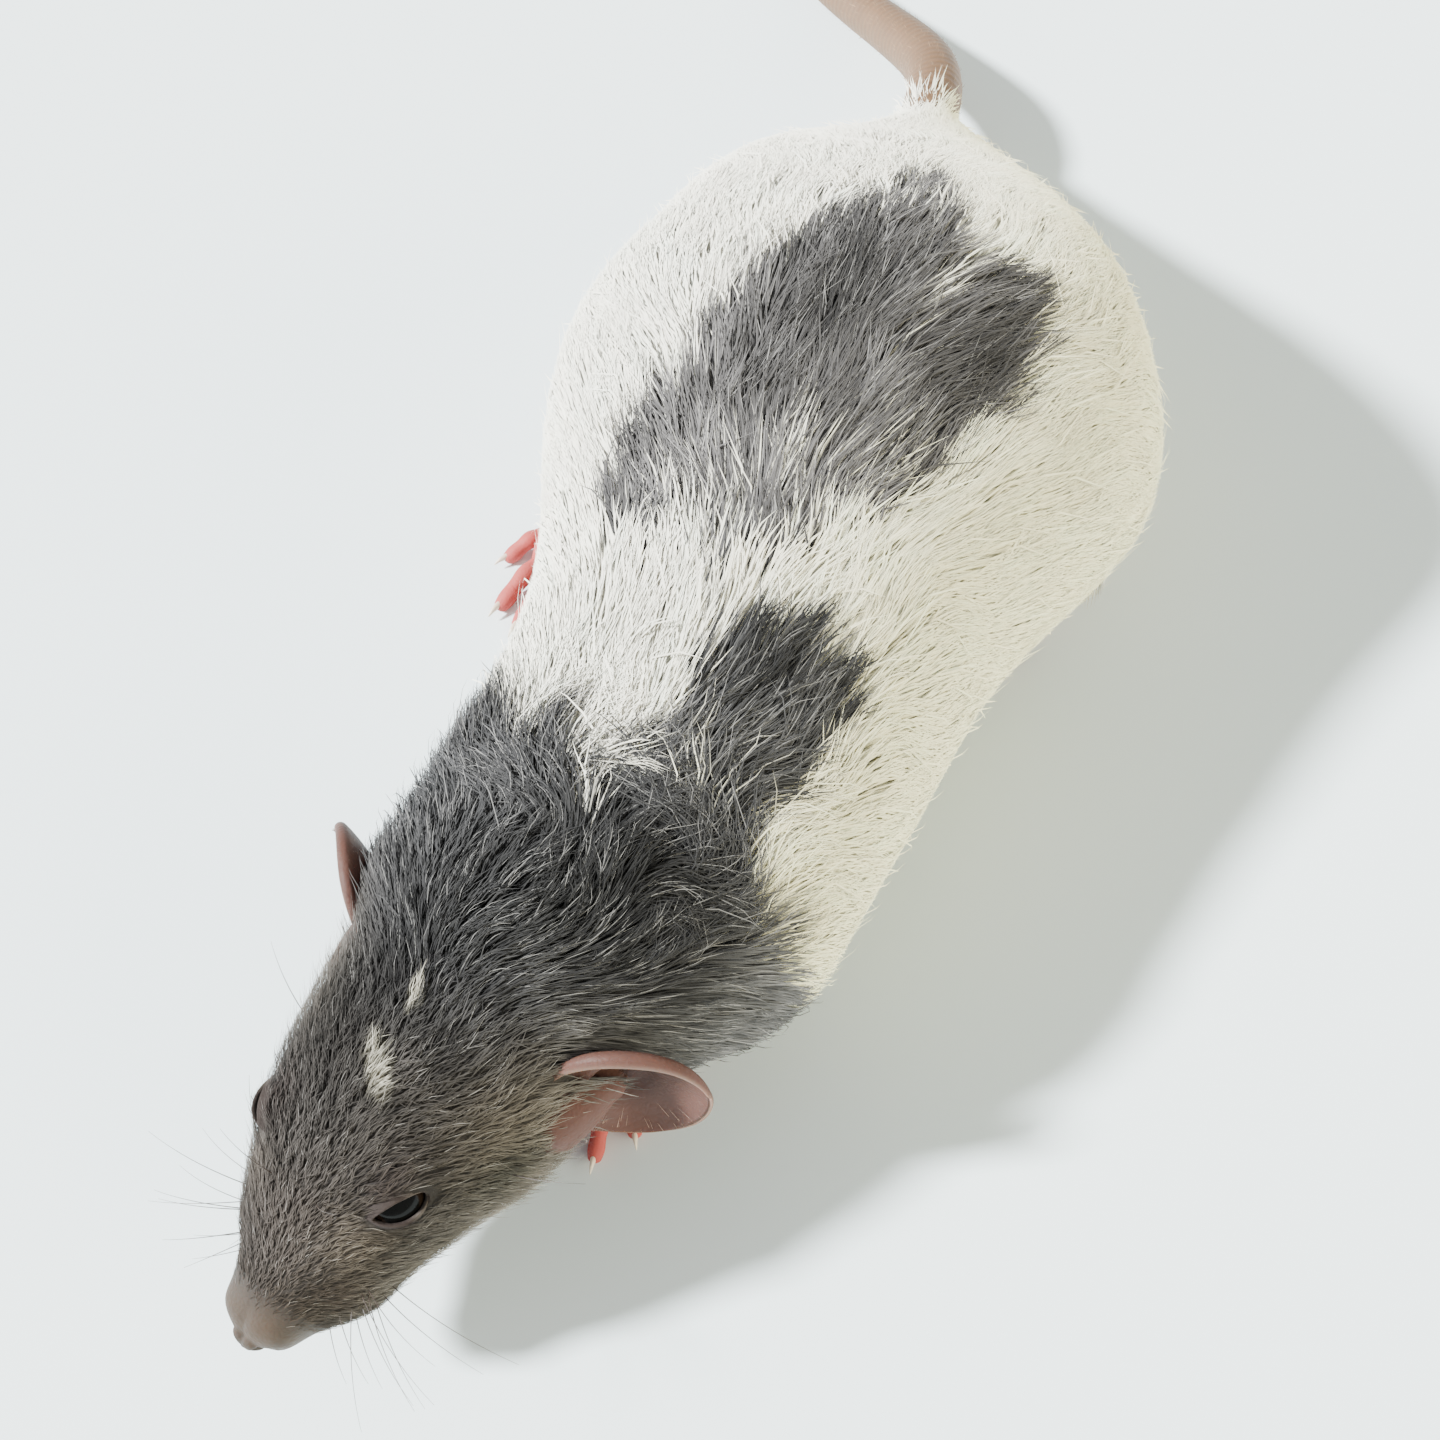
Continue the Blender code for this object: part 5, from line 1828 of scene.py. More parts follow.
@dataclass
class Whiskers:
    """Whiskers as thin tapered tubes, each a bent line out of the muzzle, brow or cheek.

    Attributes:
        root, tip: radius at the two ends.
        stations, sides: of each tube.
        droop: how far a whisker sinks, over its length.
        sweep: how far it bends back, over its length.
    """

    root: float = 0.00007
    tip: float = 0.000016
    stations: int = 12
    sides: int = 5
    droop: float = 0.16
    sweep: float = 0.16

    def build(self, material: Material) -> Object:
        """Lay the tubes out from seeded draws of root, aim and length.

        Args:
            material: of the whiskers.

        Returns:
            The dressed piece.
        """
        draw = np.random.default_rng(71)
        places, aims, lengths = [], [], []
        for sign in (1, -1):
            for patch in WHISKERS:
                offset = draw.uniform(-1, 1, (patch.count, 3))
                mirror = np.array((1.0, sign, 1.0))
                places.append((np.array(patch.place) + offset * patch.spread) * mirror)
                jitter = draw.normal(0, 0.10, (patch.count, 3))
                aims.append((np.array(patch.aim) + offset * patch.fan + jitter) * mirror)
                back = (1 - offset[:, 0]) / 2
                lengths.append(patch.lengths[0] + (patch.lengths[1] - patch.lengths[0])
                               * np.clip(0.85 * back + draw.uniform(-0.1, 0.25, patch.count), 0, 1))
        length = np.concatenate(lengths)
        start = HEAD.point(self.onto_skin(np.vstack(places)))
        heading = HEAD.vector(unit(np.vstack(aims)))
        t = np.linspace(0.0, 1.0, self.stations)[None, :, None]
        bend = -HEAD.rows()[0] * self.sweep - np.array((0.0, 0.0, self.droop))
        line = start[:, None] + length[:, None, None] * (heading[:, None] * t + bend * t ** 2)
        line[..., 2] = np.maximum(line[..., 2], 0.0004)
        ahead = unit(np.gradient(line, axis=1))
        across = unit(np.cross(ahead, (0.0, 0.0, 1.0)))
        over = np.cross(across, ahead)
        turn = circle(self.sides)
        ring = across[:, :, None] * np.cos(turn)[:, None] + over[:, :, None] * np.sin(turn)[:, None]
        radius = self.root + (self.tip - self.root) * t ** 0.8
        points = line[:, :, None] + ring * radius[..., None]
        tint = rgb(70, 58, 52) * 0.7
        tubes = [closed_grid(tube, tint, Slot.HIDE) for tube in points]
        return dress(mesh_object("whiskers", gathered(tubes), [material]), "fur_white")

    @staticmethod
    def onto_skin(places: Array) -> Array:
        """Places of the head moved sideways to lie just under its skin.

        The side is read off the head's sections: the superellipse's half width at that level.

        Args:
            places: of the head.

        Returns:
            The places there.
        """
        table = np.array(HEAD_SECTIONS)
        half = np.interp(places[:, 0], table[:, 0], table[:, 2])
        level = places[:, 2] - np.interp(places[:, 0], table[:, 0], table[:, 1])
        tall = np.where(level > 0, np.interp(places[:, 0], table[:, 0], table[:, 3]),
                        np.interp(places[:, 0], table[:, 0], table[:, 4]))
        share = np.clip(np.abs(level) / tall, 0, 0.98)
        side = half * (1 - share ** BODY_SQUARE) ** (1 / BODY_SQUARE) - 0.0012
        return np.stack((places[:, 0], np.sign(places[:, 1]) * side, places[:, 2]), -1)


@dataclass
class Roots:
    """Where tufts stand on a chart and how each of them grows; every field has one value a tuft.

    Attributes:
        u, v: place on the chart.
        lead_u, lead_v: place of the lock that the tuft leans into.
        length, width: of the tuft.
        top: height of its tip over the skin, over the depth of the coat.
        turn: radians from the lie of the coat, towards growing v.
        low, high: (n, 3) colour at its root and at its tip.
    """

    u: Array
    v: Array
    lead_u: Array
    lead_v: Array
    length: Array
    width: Array
    top: Array
    turn: Array
    low: Array
    high: Array

    def pick(self, chosen: Array) -> "Roots":
        """The chosen tufts alone."""
        return Roots(*(values[chosen] for values in vars(self).values()))


@dataclass
class Tufts:
    """Tufts of hair gathered into one piece.

    Each tuft is a closed blade: rings of three points, two edges and a ridge, that narrow to a tip.

    Attributes:
        name: of the piece.
        shares: where along the tuft its rings lie, from 0 to below 1.
        slot: a slot of the record, handed on to dress.
        round: how far the shading of a blade's edges turns off the coat's own.
        wave: how far a tuft swings to either side, over its length.
        full: height of a blade's ridge over half its width, on dark hair.
        points, tints, maps, normals: what has been grown so far, a row for each blade.
    """

    name: str
    shares: tuple[float, ...] = (0.0, 0.38, 0.74)
    slot: str = "fur_white"
    round: float = 0.45
    wave: float = 0.0
    full: float = 0.9
    points: list[Array] = field(default_factory=list)
    tints: list[Array] = field(default_factory=list)
    maps: list[Array] = field(default_factory=list)
    normals: list[Array] = field(default_factory=list)

    def grow(self, chart: Chart, roots: Roots, toward: float, pull: float,
             tile: tuple[float, float, float, float], span: tuple[float, float]) -> None:
        """Add tufts to the piece.

        The line of a tuft runs over the chart from its root, turned off the lie of the coat, and
        leans into its lock with the share to the power of 1.5. Its height over the skin rises fast
        and flattens out: 1 - (1 - share)^1.8.

        Args:
            chart: the surface, at the tips of the coat.
            roots: the tufts.
            toward: 1 where hair lies towards growing u, -1 where it lies the other way.
            pull: how far the tips come together in a lock, 0 to 1.
            tile: corner and size on the bake map.
            span: lowest and highest u of the piece, for the bake map.
        """
        t = np.array(self.shares + (1.0,))
        u, v = roots.u[:, None], roots.v[:, None]
        sunk = -chart.depth(u, v)
        base = chart.point(u, v, sunk)
        size_u = np.linalg.norm(chart.point(u + 0.01, v, sunk) - base, axis=-1) / 0.01
        size_v = np.linalg.norm(chart.point(u, v + 0.01, sunk) - base, axis=-1) / 0.01
        step = roots.length[:, None] * t
        turn = roots.turn[:, None] * (0.4 + 0.6 * t)
        lean = pull * t ** 1.5
        uu = u + toward * np.cos(turn) * step / size_u + lean * (roots.lead_u[:, None] - u)
        vv = v + np.sin(turn) * step / np.maximum(size_v, 1e-4) + lean * (roots.lead_v[:, None] - v)
        wave = self.wave * roots.length[:, None] * np.sin(t * 6.5 + 40.0 * roots.turn[:, None]) * t
        vv = vv + wave / np.maximum(size_v, 1e-4)
        rise = -0.12 + (roots.top[:, None] + 0.12) * (1 - (1 - t) ** 1.8)
        lift = chart.depth(uu, vv) * (rise - 1)
        line = chart.point(uu, vv, lift)
        line[..., 2] = np.maximum(line[..., 2], 0.0003)
        clear = (EYES.reach(line).min(1) > 1.22) & ~through_ear(line)
        line, uu, vv, lift = line[clear], uu[clear], vv[clear], lift[clear]
        above = unit(chart.point(uu, vv, lift + 0.0005) - chart.point(uu, vv, lift))
        ahead = unit(np.gradient(line, axis=1))
        across = unit(np.cross(ahead, above))
        over = np.cross(across, ahead)
        taper = np.interp(t, (0.0, 0.35, 0.75, 1.0), (0.80, 1.0, 0.66, 0.0))
        half = roots.width[clear][:, None] * taper / 2
        rings = len(self.shares)
        pale = ease(roots.high[clear].mean(1) / 0.6)[:, None, None]
        side, ridge = across * half[..., None], over * half[..., None] * (self.full * (1 - 0.65 * pale))
        blade = np.stack((line - side, line + side, line + ridge), 2)[:, :rings]
        points = np.concatenate((blade.reshape(len(line), -1, 3), line[:, -1:]), 1)
        above = unit(above + np.array((0.0, 0.0, 1.0)) * (0.10 + 0.35 * pale))
        turned = self.round * (1 - 0.75 * pale) * across
        bent = np.stack((above - turned, above + turned, above), 2)[:, :rings]
        bent = np.concatenate((bent.reshape(len(line), -1, 3), above[:, -1:]), 1)
        self.normals.append(unit(bent))
        share = np.concatenate((np.repeat(t[:-1], 3), t[-1:]))[:, None]
        tint = roots.low[clear][:, None] * (1 - share) + roots.high[clear][:, None] * share
        spread = np.concatenate((np.tile((0.0, 1.0, 0.5), rings), (0.5,)))[:, None]
        room = (tile[2] - PATCH, tile[3] - PATCH)
        where_u = np.clip((roots.u[clear] - span[0]) / (span[1] - span[0]), 0, 1)[:, None]
        where_v = (roots.v[clear] / (2 * math.pi) % 1.0)[:, None]
        bake = np.stack((tile[0] + room[0] * where_u + PATCH * share.T, tile[1] + room[1] * where_v
                         + PATCH * spread.T), -1)
        self.points.append(points)
        self.tints.append(tint)
        self.maps.append(bake)

    def template(self) -> tuple[Array, Array]:
        """Quads and triangles of one blade."""
        rings = len(self.shares)
        quads = grid_quads(rings, 3)
        last = (rings - 1) * 3
        tip = rings * 3
        triangles = np.array(((0, 2, 1), (last, last + 1, tip), (last + 1, last + 2, tip),
                              (last + 2, last, tip)))
        return quads, triangles

    def build(self, material: Material) -> Object:
        """Put every blade into one mesh, with its colours and its patch of the bake map.

        Args:
            material: of the hair.

        Returns:
            The dressed piece.
        """
        points = np.concatenate(self.points)
        size = points.shape[1]
        starts = (np.arange(len(points)) * size)[:, None, None]
        quads, triangles = self.template()
        first = points[0]
        a, b, c = (first[triangles[1:, k]] for k in range(3))
        middle = first.mean(0)
        if np.einsum("ij,ij->", a - middle, np.cross(b - a, c - a)) < 0:
            quads, triangles = quads[:, ::-1], triangles[:, ::-1]
        quads = (quads[None] + starts).reshape(-1, 4)
        triangles = (triangles[None] + starts).reshape(-1, 3)
        made = Surface(points.reshape(-1, 3), quads, triangles, np.concatenate(self.tints).reshape(-1, 3),
                       np.zeros(len(quads) + len(triangles), int),
                       normals=np.concatenate(self.normals).reshape(-1, 3))
        obj = mesh_object(self.name, made, [material])
        bake = np.concatenate(self.maps).reshape(-1, 2)
        corners = np.concatenate((quads.ravel(), triangles.ravel()))
        layer = obj.data.uv_layers.new(name="OFBake")
        layer.data.foreach_set("uv", bake[corners].astype(np.float32).ravel())
        return dress(obj, self.slot)


def scattered(draw: np.random.Generator, chart: Chart, low: float, high: float,
              density: Callable[[Array, Array], Array], cells: tuple[int, int],
              number: int | None = None) -> tuple[Array, Array]:
    """Places spread over a chart by area times density.

    The chart is cut into cells, the expected number is summed from cell to cell, and the places
    stand at even steps of that sum, jittered inside their cell.

    Args:
        draw: the source of chance.
        chart: the surface.
        low, high: range of u.
        density: tufts a square metre at (u, v).
        cells: number along u and round v.
        number: how many places in all, if it isn't left to the density.

    Returns:
        u and v of the places.
    """
    edges_u = np.linspace(low, high, cells[0] + 1)
    edges_v = np.linspace(0, 2 * math.pi, cells[1] + 1)
    u, v = np.meshgrid(edges_u, edges_v, indexing="ij")
    points = chart.point(u, v, -0.001)
    along, around = np.diff(points, axis=0)[:, :-1], np.diff(points, axis=1)[:-1]
    area = np.linalg.norm(np.cross(along, around), axis=-1)
    middle_u = (u[:-1, :-1] + u[1:, 1:]) / 2
    middle_v = (v[:-1, :-1] + v[1:, 1:]) / 2
    total = np.cumsum((area * density(middle_u, middle_v)).ravel())
    count = int((total[-1] if number is None else number) * (1.0))
    steps = (np.arange(count) + draw.uniform(0, 1, count)) / count * total[-1]
    cell = np.minimum(np.searchsorted(total, steps), total.size - 1)
    i, j = np.unravel_index(cell, area.shape)
    return (edges_u[i] + draw.uniform(0, 1, count) * (edges_u[1] - edges_u[0]),
            edges_v[j] + draw.uniform(0, 1, count) * (edges_v[1] - edges_v[0]))


def lock_of(draw: np.random.Generator, x: Array, y: Array, size: float) -> tuple[Array, Array, Array]:
    """The nearest of jittered lock centres on a plane.

    Every square cell holds one centre at a random place, and each point looks at the centres of
    its own cell and the eight round it.

    Args:
        draw: the source of chance.
        x, y: places on the plane.
        size: side of a cell.

    Returns:
        x and y of the nearest centre, and an index of its cell.
    """
    i, j = np.floor(x / size).astype(int), np.floor(y / size).astype(int)
    i, j = i - i.min() + 1, j - j.min() + 1
    x0, y0 = x - (np.floor(x / size).min() - 1) * size, y - (np.floor(y / size).min() - 1) * size
    shape = (i.max() + 2, j.max() + 2)
    jitter = draw.uniform(0, 1, (*shape, 2))
    best = np.full(len(x), np.inf)
    found_x, found_y, index = x0.copy(), y0.copy(), np.zeros(len(x), int)
    for di in (-1, 0, 1):
        for dj in (-1, 0, 1):
            a, b = i + di, j + dj
            centre = (np.stack((a, b), -1) + jitter[a, b]) * size
            far = np.hypot(centre[:, 0] - x0, centre[:, 1] - y0)
            near = far < best
            best[near] = far[near]
            found_x[near], found_y[near] = centre[near, 0], centre[near, 1]
            index[near] = (a * shape[1] + b)[near]
    return x + (found_x - x0), y + (found_y - y0), index


@dataclass
class BodyCoat:
    """The coat of trunk, neck and head, in pieces from the tail's root to the nose.

    Attributes:
        s: distances along the spine at which the next four are given.
        length, width: of a tuft.
        density: tufts a square metre on the back.
        lock: size of a lock.
        spans: name, lowest and highest s, rings of a blade and number of tufts of each piece.
    """

    s: tuple[float, ...] = (0.0, 0.012, 0.030, 0.060, 0.100, 0.140, 0.158, 0.170, 0.180, 0.190, 0.205,
                            0.222, 0.234)
    length: tuple[float, ...] = (0.0050, 0.0075, 0.0090, 0.0098, 0.0100, 0.0096, 0.0086, 0.0068,
                                 0.0048, 0.0035, 0.0026, 0.0016, 0.0008)
    width: tuple[float, ...] = (0.00022, 0.00024, 0.00026, 0.00025, 0.00025, 0.00024, 0.00021, 0.00019,
                                0.00017, 0.00015, 0.00013, 0.00012, 0.00010)
    density: tuple[float, ...] = (3.0e6, 2.4e6, 2.0e6, 1.9e6, 1.9e6, 2.1e6, 2.4e6, 2.8e6, 3.4e6, 4.2e6,
                                  5.5e6, 8.0e6, 9.0e6)
    lock: tuple[float, ...] = (0.0018, 0.0022, 0.0026, 0.0028, 0.0028, 0.0026, 0.0024, 0.0020, 0.0016,
                               0.0013, 0.0010, 0.0008, 0.0006)
    spans: tuple[tuple[str, float, float, int, int], ...] = (
        ("coat_rump", 0.0, 0.042, 2, 15500), ("coat_loin", 0.042, 0.074, 2, 18500),
        ("coat_back", 0.074, 0.104, 2, 19000), ("coat_shoulder", 0.104, 0.134, 2, 17500),
        ("coat_neck", 0.134, 0.157, 3, 10500), ("coat_nape", 0.157, 0.172, 4, 7500),
        ("coat_crown", 0.172, 0.189, 3, 10500), ("coat_face", 0.189, 0.2332, 2, 18500))

    RINGS = {2: (0.0, 0.5), 3: (0.0, 0.38, 0.74), 4: (0.0, 0.28, 0.56, 0.82)}

    def at(self, table: tuple[float, ...], s: Array) -> Array:
        """A table's value at s."""
        return np.interp(s, self.s, table)

    def build(self, material: Material) -> list[Object]:
        """Grow every piece."""
        return [self.piece(k, *span, material) for k, span in enumerate(self.spans)]

    def piece(self, k: int, name: str, low: float, high: float, rings: int, number: int,
              material: Material) -> Object:
        """Grow one piece.

        Args:
            k: its number, which seeds its draws.
            name: of the piece.
            low, high: range of s.
            rings: of each blade.
            number: of tufts.
            material: of the hair.

        Returns:
            The piece.
        """
        draw = np.random.default_rng(100 + k)
        u_low, u_high = (float(BODY.at_arc(np.array(x))) for x in (low, high))

        def density(u: Array, v: Array) -> Array:
            """Full on the back and flanks, a third of it under the belly."""
            return self.at(self.density, BODY.arc(u)) * (0.32 + 0.68 * ease((np.sin(v) + 0.85) / 0.5))

        u, v = scattered(draw, BODY, u_low, u_high, density, (160, 200), number)
        s, q = BODY.arc(u), chart_angle(v)
        points = BODY.point(u, v, -0.001)
        kept = HEAD.local(points)[:, 0] < 0.0374 + 0.0006 * draw.normal(0, 1, len(u))
        kept &= s > BODY.table_s[0] + 0.0002 + 0.0010 * draw.normal(0, 1, len(u))
        u, v, s, q, points = u[kept], v[kept], s[kept], q[kept], points[kept]
        count = len(u)
        radius = np.interp(s, BODY.table_s, np.linalg.norm(
            BODY.point(BODY.table_u, BODY.table_u * 0.0, 0.0) - BODY.spline(BODY.table_u)[:, :3], axis=1))
        radius = np.maximum(radius, 0.004)
        cell = float(self.at(self.lock, (low + high) / 2))
        ratio = cell / self.at(self.lock, s)
        lead_s, lead_y, lock = lock_of(draw, s, v * float(radius.mean()), cell)
        lead_s, lead_v = s + (lead_s - s) / ratio, v + (lead_y / float(radius.mean()) - v) / ratio
        locks = lock.max() + 1
        lock_turn, lock_top, lock_shade = (draw.normal(0, 1, locks)[lock] for _ in range(3))
        nape = np.exp(-((s - 0.169) / 0.010) ** 2 - ((q - 2) / 55) ** 2)
        head = ease((s - 0.183) / 0.016)
        neck = np.exp(-((s - 0.158) / 0.016) ** 2)
        fan = -np.cos(v) * 0.42
        swirl = 0.26 * Ripple(5, 0.022)(points) + 1.15 * nape * Ripple(6, 0.011)(points)
        turn = fan + swirl + 0.13 * lock_turn + draw.normal(0, 1, count) * (0.10 + 0.08 * head)
        length = self.at(self.length, s) * np.clip(draw.normal(1.0, 0.16, count), 0.55, 1.5)
        length *= 1 + 0.25 * nape
        grey = MARKINGS.weight(s, q, points)
        spread = (0.15 + 0.85 * grey) * (1 - 0.6 * head)
        top = 0.84 - 0.22 * head + (0.09 * lock_top + draw.normal(0, 0.09, count)) * spread + 0.2 * nape
        top = np.clip(top, 0.35, 1.25)
        stray = draw.uniform(0, 1, count) < 0.012 + 0.018 * grey
        top = np.where(stray, top + 0.35, top)
        fuzz = draw.uniform(0, 1, count) < 0.12 * head
        top = np.where(fuzz, top + draw.uniform(0.2, 0.9, count), top)
        turn = np.where(stray, turn + draw.normal(0, 0.3, count), turn)
        width = self.at(self.width, s) * draw.uniform(0.75, 1.25, count) * (1.3 - 0.3 * grey)
        seen_s = s - 0.5 * length * np.cos(turn)
        seen_v = v + 0.5 * length * np.sin(turn) / radius
        seen = BODY.point(BODY.at_arc(seen_s), seen_v, -0.001)
        chance = np.clip(0.5 + 0.16 * lock_shade + draw.normal(0, 0.20, count), 0.02, 0.98)
        settled = 1.4 * MARKINGS.weight(seen_s, chart_angle(seen_v), seen) - 0.2
        settled = ease((settled - chance) / 0.34 + 0.5)
        colour, weight = MARKINGS.colours(seen_s, chart_angle(seen_v), seen, settled)
        silver = (draw.uniform(0, 1, count) < 0.10 - 0.06 * head + 0.07 * neck) & (weight > 0.5)
        width = np.where(silver, 0.65 * width, width)
        low_tint, high_tint = self.tints(draw, colour, weight, lock_shade, silver)
        roots = Roots(u, v, BODY.at_arc(lead_s), lead_v, length, width, top, turn, low_tint, high_tint)
        tufts = Tufts(name, self.RINGS[rings], "fur_grey" if low > 0.15 else "fur_white",
                      round=0.14 if low > 0.18 else 0.45, full=0.3 if low > 0.18 else 0.8,
                      wave=0.08 if rings > 3 else 0.0)
        tufts.grow(BODY, roots, -1.0, 0.62, (0.0, 0.0, 1.0, 1.0), (u_low, u_high))
        return tufts.build(material)

    @staticmethod
    def tints(draw: np.random.Generator, colour: Array, weight: Array, lock_shade: Array,
              silver: Array) -> tuple[Array, Array]:
        """Root and tip colours of tufts.

        Grey hair is dark at its root, partly its own dark underfur and partly painted shade deep in the coat,
        and frosted at its tip, and a tuft here and there is silver;
        cream hair is a little darker at its root, as painted shade among the hairs. Locks and single tufts
        differ in brightness.

        Args:
            draw: the source of chance.
            colour, weight: the coat's base colour and greyness at the roots.
            lock_shade: a value of each tuft's lock.
            silver: which tufts are silver.

        Returns:
            (n, 3) colours of root and tip.
        """
        count = len(colour)
        grey = weight[:, None]
        shade = (0.18 * lock_shade + draw.normal(0, 0.16, count)) * (0.12 + 0.88 * weight)
        shade = np.exp(shade)[:, None]
        frost = draw.uniform(0.0, 0.14, count)[:, None] * grey
        # Darker roots: painted shade deep in the coat, over the grey hair's own dark underfur.
        low = colour * shade * (0.98 - 0.40 * grey)
        high = colour * shade * (1.01 + 0.15 * grey)
        bright = 0.75 * np.array(MARKINGS.silver) + 1.8 * colour
        high = high * (1 - frost) + bright * frost
        low = np.where(silver[:, None], 0.5 * low + 0.3 * bright, low)
        high = np.where(silver[:, None], bright, high)
        return np.clip(low, 0, 0.96), np.clip(high, 0, 0.96)


def inside_body(points: Array) -> Array:
    """Whether points of the model's frame lie under the body's skin.

    The section is found by the place along the body, and its superellipse is read at the point.

    Args:
        points: the points.

    Returns:
        True for each point that does.
    """
    centres = BODY.spline(BODY.table_u)
    u = np.interp(-points[:, 1], -centres[:, 1], BODY.table_u)
    row = BODY.spline(u)
    offset = points - row[:, :3]
    coat = BODY.depth(u, np.full(len(u), 1.5))
    a = np.einsum("ij,ij->i", offset, row[:, 3:6]) / (row[:, 9] - coat)
    b = np.einsum("ij,ij->i", offset, row[:, 6:9])
    b = b / (np.where(b > 0, row[:, 10], row[:, 11]) - coat)
    return np.abs(a) ** BODY_SQUARE + np.abs(b) ** BODY_SQUARE < 0.96


@dataclass(frozen=True)
class ShortHair:
    """Plain short hair, which stands in no locks.

    Attributes:
        length, width: ranges of a tuft's length and width.
        top: range of the height of its tip over the skin, over the depth of the coat.
        turn, shade: spread of its direction, in radians, and of the logarithm of its brightness.
        colour: linear colour of its tip.
        root: brightness of its root over the tip's, a painted shade near the skin.
    """

    length: tuple[float, float]
    width: tuple[float, float]
    top: tuple[float, float]
    turn: float
    shade: float
    colour: Array
    root: float

    def roots(self, draw: np.random.Generator, u: Array, v: Array) -> Roots:
        """Tufts at places of a chart.

        Args:
            draw: the source of chance.
            u, v: the places.

        Returns:
            The tufts.
        """
        tint = self.colour * np.exp(draw.normal(0, self.shade, len(u)))[:, None]
        length, width, top = (draw.uniform(*span, len(u)) for span in (self.length, self.width, self.top))
        turn = draw.normal(0, self.turn, len(u))
        # The darker root is painted shade near the skin.
        return Roots(u, v, u, v, length, width, top, turn, tint * self.root, tint)


EAR_HAIR = ShortHair((0.0006, 0.0013), (0.00006, 0.00010), (0.5, 1.4), 0.4, 0.15, rgb(170, 140, 125), 0.9)
TAIL_HAIR = ShortHair((0.0014, 0.0026), (0.00007, 0.00011), (0.8, 2.2), 0.18, 0.15, rgb(150, 125, 102), 0.85)


@dataclass
class LimbCoat:
    """Short hair of the legs and the backs of the feet, in one piece.

    Attributes:
        seed: of the first strip's draws.
        leg, foot: length of the hair, and tufts a square metre, on each.
        dun: linear colour of the hair on the darker lengths.
    """

    seed: int = 301
    leg: tuple[float, float] = (0.0052, 1.6e6)
    foot: tuple[float, float] = (0.0018, 2.2e6)
    dun: Triple = (0.42, 0.39, 0.34)

    def build(self, material: Material) -> Object:
        """Grow the hair of every length of every limb on its own strip of the bake map.

        Args:
            material: of the hair.

        Returns:
            The dressed piece.
        """
        tufts = Tufts("coat_limbs", (0.0, 0.5))
        charts = [(chart, False) for leg in legs() for chart in leg.charts(False)]
        charts += [(foot.sole_chart(), True) for foot in feet()]
        for k, (chart, foot) in enumerate(charts):
            self.strip(tufts, k, chart, foot, 1.0 / len(charts))
        return tufts.build(material)

    def strip(self, tufts: Tufts, k: int, chart: TubeChart, foot: bool, strip: float) -> None:
        """Grow the hair of one length of a limb.

        Args:
            tufts: the piece it goes into.
            k: number of the strip.
            chart: the limb.
            foot: whether it is a foot, whose hair thins out towards the toes.
            strip: width of the strip on the bake map.
        """
        draw = np.random.default_rng(self.seed + k)
        length, dense = self.foot if foot else self.leg
        reach = chart.last * (0.62 if foot else 1.0)
        u, v = scattered(draw, chart, 0.0, reach, lambda u, v: dense * np.ones_like(u), (40, 40))
        points = chart.point(u, v, -chart.depth(u, v))
        kept = (points[:, 2] > 0.0012) & ~inside_body(points)
        if foot:
            kept &= draw.uniform(0, 1, len(u)) > u / reach
        if not kept.any():
            return
        colour = np.array(MARKINGS.cream if foot or k < 2 or k in (4, 5) else self.dun)
        thin = 0.6 if foot else 1.0
        hair = ShortHair((0.7 * length, 1.2 * length), (0.00020 * thin, 0.00032 * thin), (0.6, 1.05), 0.22,
                         0.14, colour, 0.82)
        tufts.grow(chart, hair.roots(draw, u[kept], v[kept]), 1.0, 0.0, (k * strip, 0.0, strip, 1.0),
                   (0.0, chart.last))


@dataclass
class EarDown:
    """Fine down on both ears, sparse inside the cup."""

    ears: Sequence[Ear]
    dense: float = 2.4e6

    def build(self, material: Material) -> Object:
        """Grow it, the left ear on one half of the bake map and the right ear on the other.

        Args:
            material: of the hair.

        Returns:
            The dressed piece.
        """
        tufts = Tufts("coat_ears", (0.0, 0.5))
        for k, ear in enumerate(self.ears):
            draw = np.random.default_rng(401 + k)
            u, v = scattered(draw, ear, 0.10, 1.9, lambda u, v: self.dense * (0.12 + 0.88 * (u > 0.95)),
                             (60, 80))
            roots = EAR_HAIR.roots(draw, u, v)
            for toward, chosen in ((1.0, u < 1), (-1.0, u >= 1)):
                tufts.grow(ear, roots.pick(chosen), toward, 0.0, (0.5 * k, 0.0, 0.5, 1.0), (0.0, 2.0))
        return tufts.build(material)


@dataclass
class TailDown:
    """Sparse stiff hairs that lie along the tail."""

    tail: Tail
    dense: float = 0.6e6

    def build(self, material: Material) -> Object:
        """Grow them towards the tail's end.

        Args:
            material: of the hair.

        Returns:
            The dressed piece.
        """
        tufts = Tufts("coat_tail", (0.0, 0.5))
        chart = self.tail.chart()
        draw = np.random.default_rng(501)
        u, v = scattered(draw, chart, 0.0, chart.last, lambda u, v: self.dense * np.ones_like(u), (200, 24))
        tufts.grow(chart, TAIL_HAIR.roots(draw, u, v), 1.0, 0.0, (0.0, 0.0, 1.0, 1.0), (0.0, chart.last))
        return tufts.build(material)


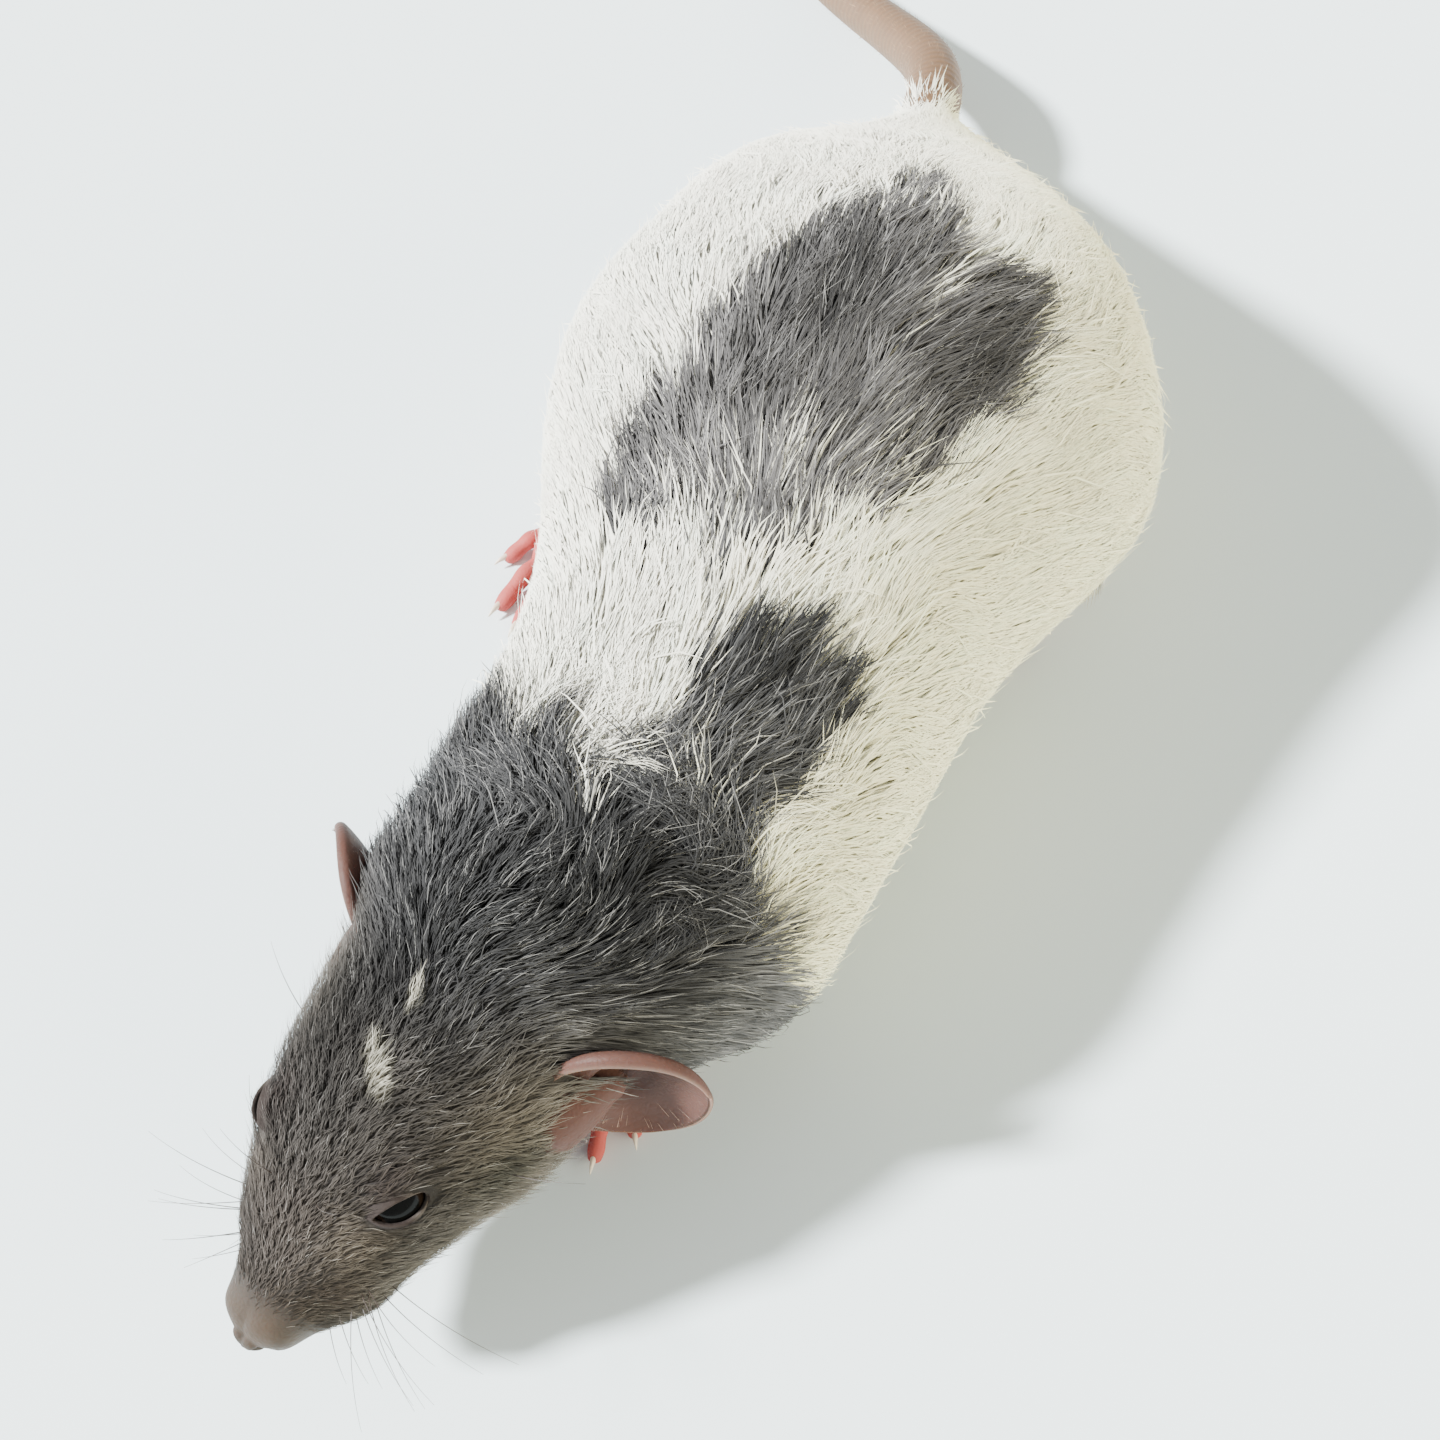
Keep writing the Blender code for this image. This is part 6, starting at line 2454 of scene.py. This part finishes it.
@dataclass
class Studio:
    """The floor, the light and the camera.

    Attributes:
        eye: where the camera stands.
        forward, right: directions in which it looks and in which its frame runs.
        lens: focal length in millimetres, on a 36 mm sensor.
        lamps: name, strength, colour, direction of travel and angle of each lamp; the wider its
            angle, the softer its shadows.
        sky: strength of the surroundings.
    """

    eye: Triple = (0.12366, -0.1691, 0.1993)
    forward: Triple = (-0.295, 0.468, -0.833)
    right: Triple = (0.9166, 0.3848, -0.108)
    lens: float = 40.49
    lamps: tuple[tuple[str, float, Triple, Triple, float], ...] = (
        ("key_lamp", 16.2, (0.96, 0.99, 0.985), (1.065, 0.555, -1.0), 7.0),
        ("fill_lamp", 6.6, (1.0, 0.94, 0.66), (-1.0, 0.12, -0.14), 55.0))
    sky: float = 0.78

    def build(self) -> None:
        """Lay the floor, set the lamp and the surroundings, and place the camera."""
        mesh = bpy.data.meshes.new("floor")
        size = 1.2
        mesh.from_pydata([(-size, -size, 0.0), (size, -size, 0.0), (size, size, 0.0), (-size, size, 0.0)],
                         [], [(0, 1, 2, 3)])
        mesh.materials.append(FloorFinish().material())
        floor = bpy.data.objects.new("floor", mesh)
        bpy.context.scene.collection.objects.link(floor)
        for name, strength, colour, way, angle in self.lamps:
            lamp = bpy.data.lights.new(name, "SUN")
            lamp.energy = strength
            lamp.angle = math.radians(angle)
            lamp.color = colour
            holder = bpy.data.objects.new(name, lamp)
            back = -unit(np.array(way))
            side = unit(np.cross((0.0, 0.0, 1.0), back))
            turn = Matrix(np.column_stack((side, np.cross(back, side), back)).tolist())
            holder.matrix_world = turn.to_4x4()
            holder.visible_glossy = angle < 30.0
            bpy.context.scene.collection.objects.link(holder)
        world = bpy.data.worlds.new("surroundings")
        world.use_nodes = True
        background = world.node_tree.nodes["Background"]
        background.inputs["Color"].default_value = (0.93, 0.98, 1.0, 1.0)
        background.inputs["Strength"].default_value = self.sky
        bpy.context.scene.world = world
        self.camera()

    def camera(self) -> None:
        """The camera, its frame level along the given right."""
        data = bpy.data.cameras.new("camera")
        data.lens = self.lens
        data.sensor_width = 36.0
        data.clip_start = 0.01
        forward = unit(np.array(self.forward))
        right = np.array(self.right)
        right = unit(right - forward * (right @ forward))
        up = np.cross(right, forward)
        camera = bpy.data.objects.new("camera", data)
        turn = Matrix(np.column_stack((right, up, -forward)).tolist()).to_4x4()
        camera.matrix_world = Matrix.Translation(self.eye) @ turn
        bpy.context.scene.collection.objects.link(camera)
        bpy.context.scene.camera = camera


def main() -> None:
    """Build every piece in order, dress it and report it."""
    logging.basicConfig(level=logging.INFO, format="%(name)s %(message)s", stream=sys.stdout)
    Studio().build()
    hair, horn, eye = (finish.material() for finish in (HAIR, HORN, MOIST_EYE))
    skins = [HideFinish().material(), BareFinish().material(), TailFinish().material()]
    ears = [Ear(1), Ear(-1)]
    tail = Tail()
    Skin().build(ears, Lids(), tail, skins)
    for sign in (1, -1):
        Eyeball(sign).build(eye)
    Claws().build(horn)
    Whiskers().build(horn)
    BodyCoat().build(hair)
    LimbCoat().build(hair)
    EarDown(ears).build(hair)
    TailDown(tail).build(hair)


if __name__ == "__main__":
    main()
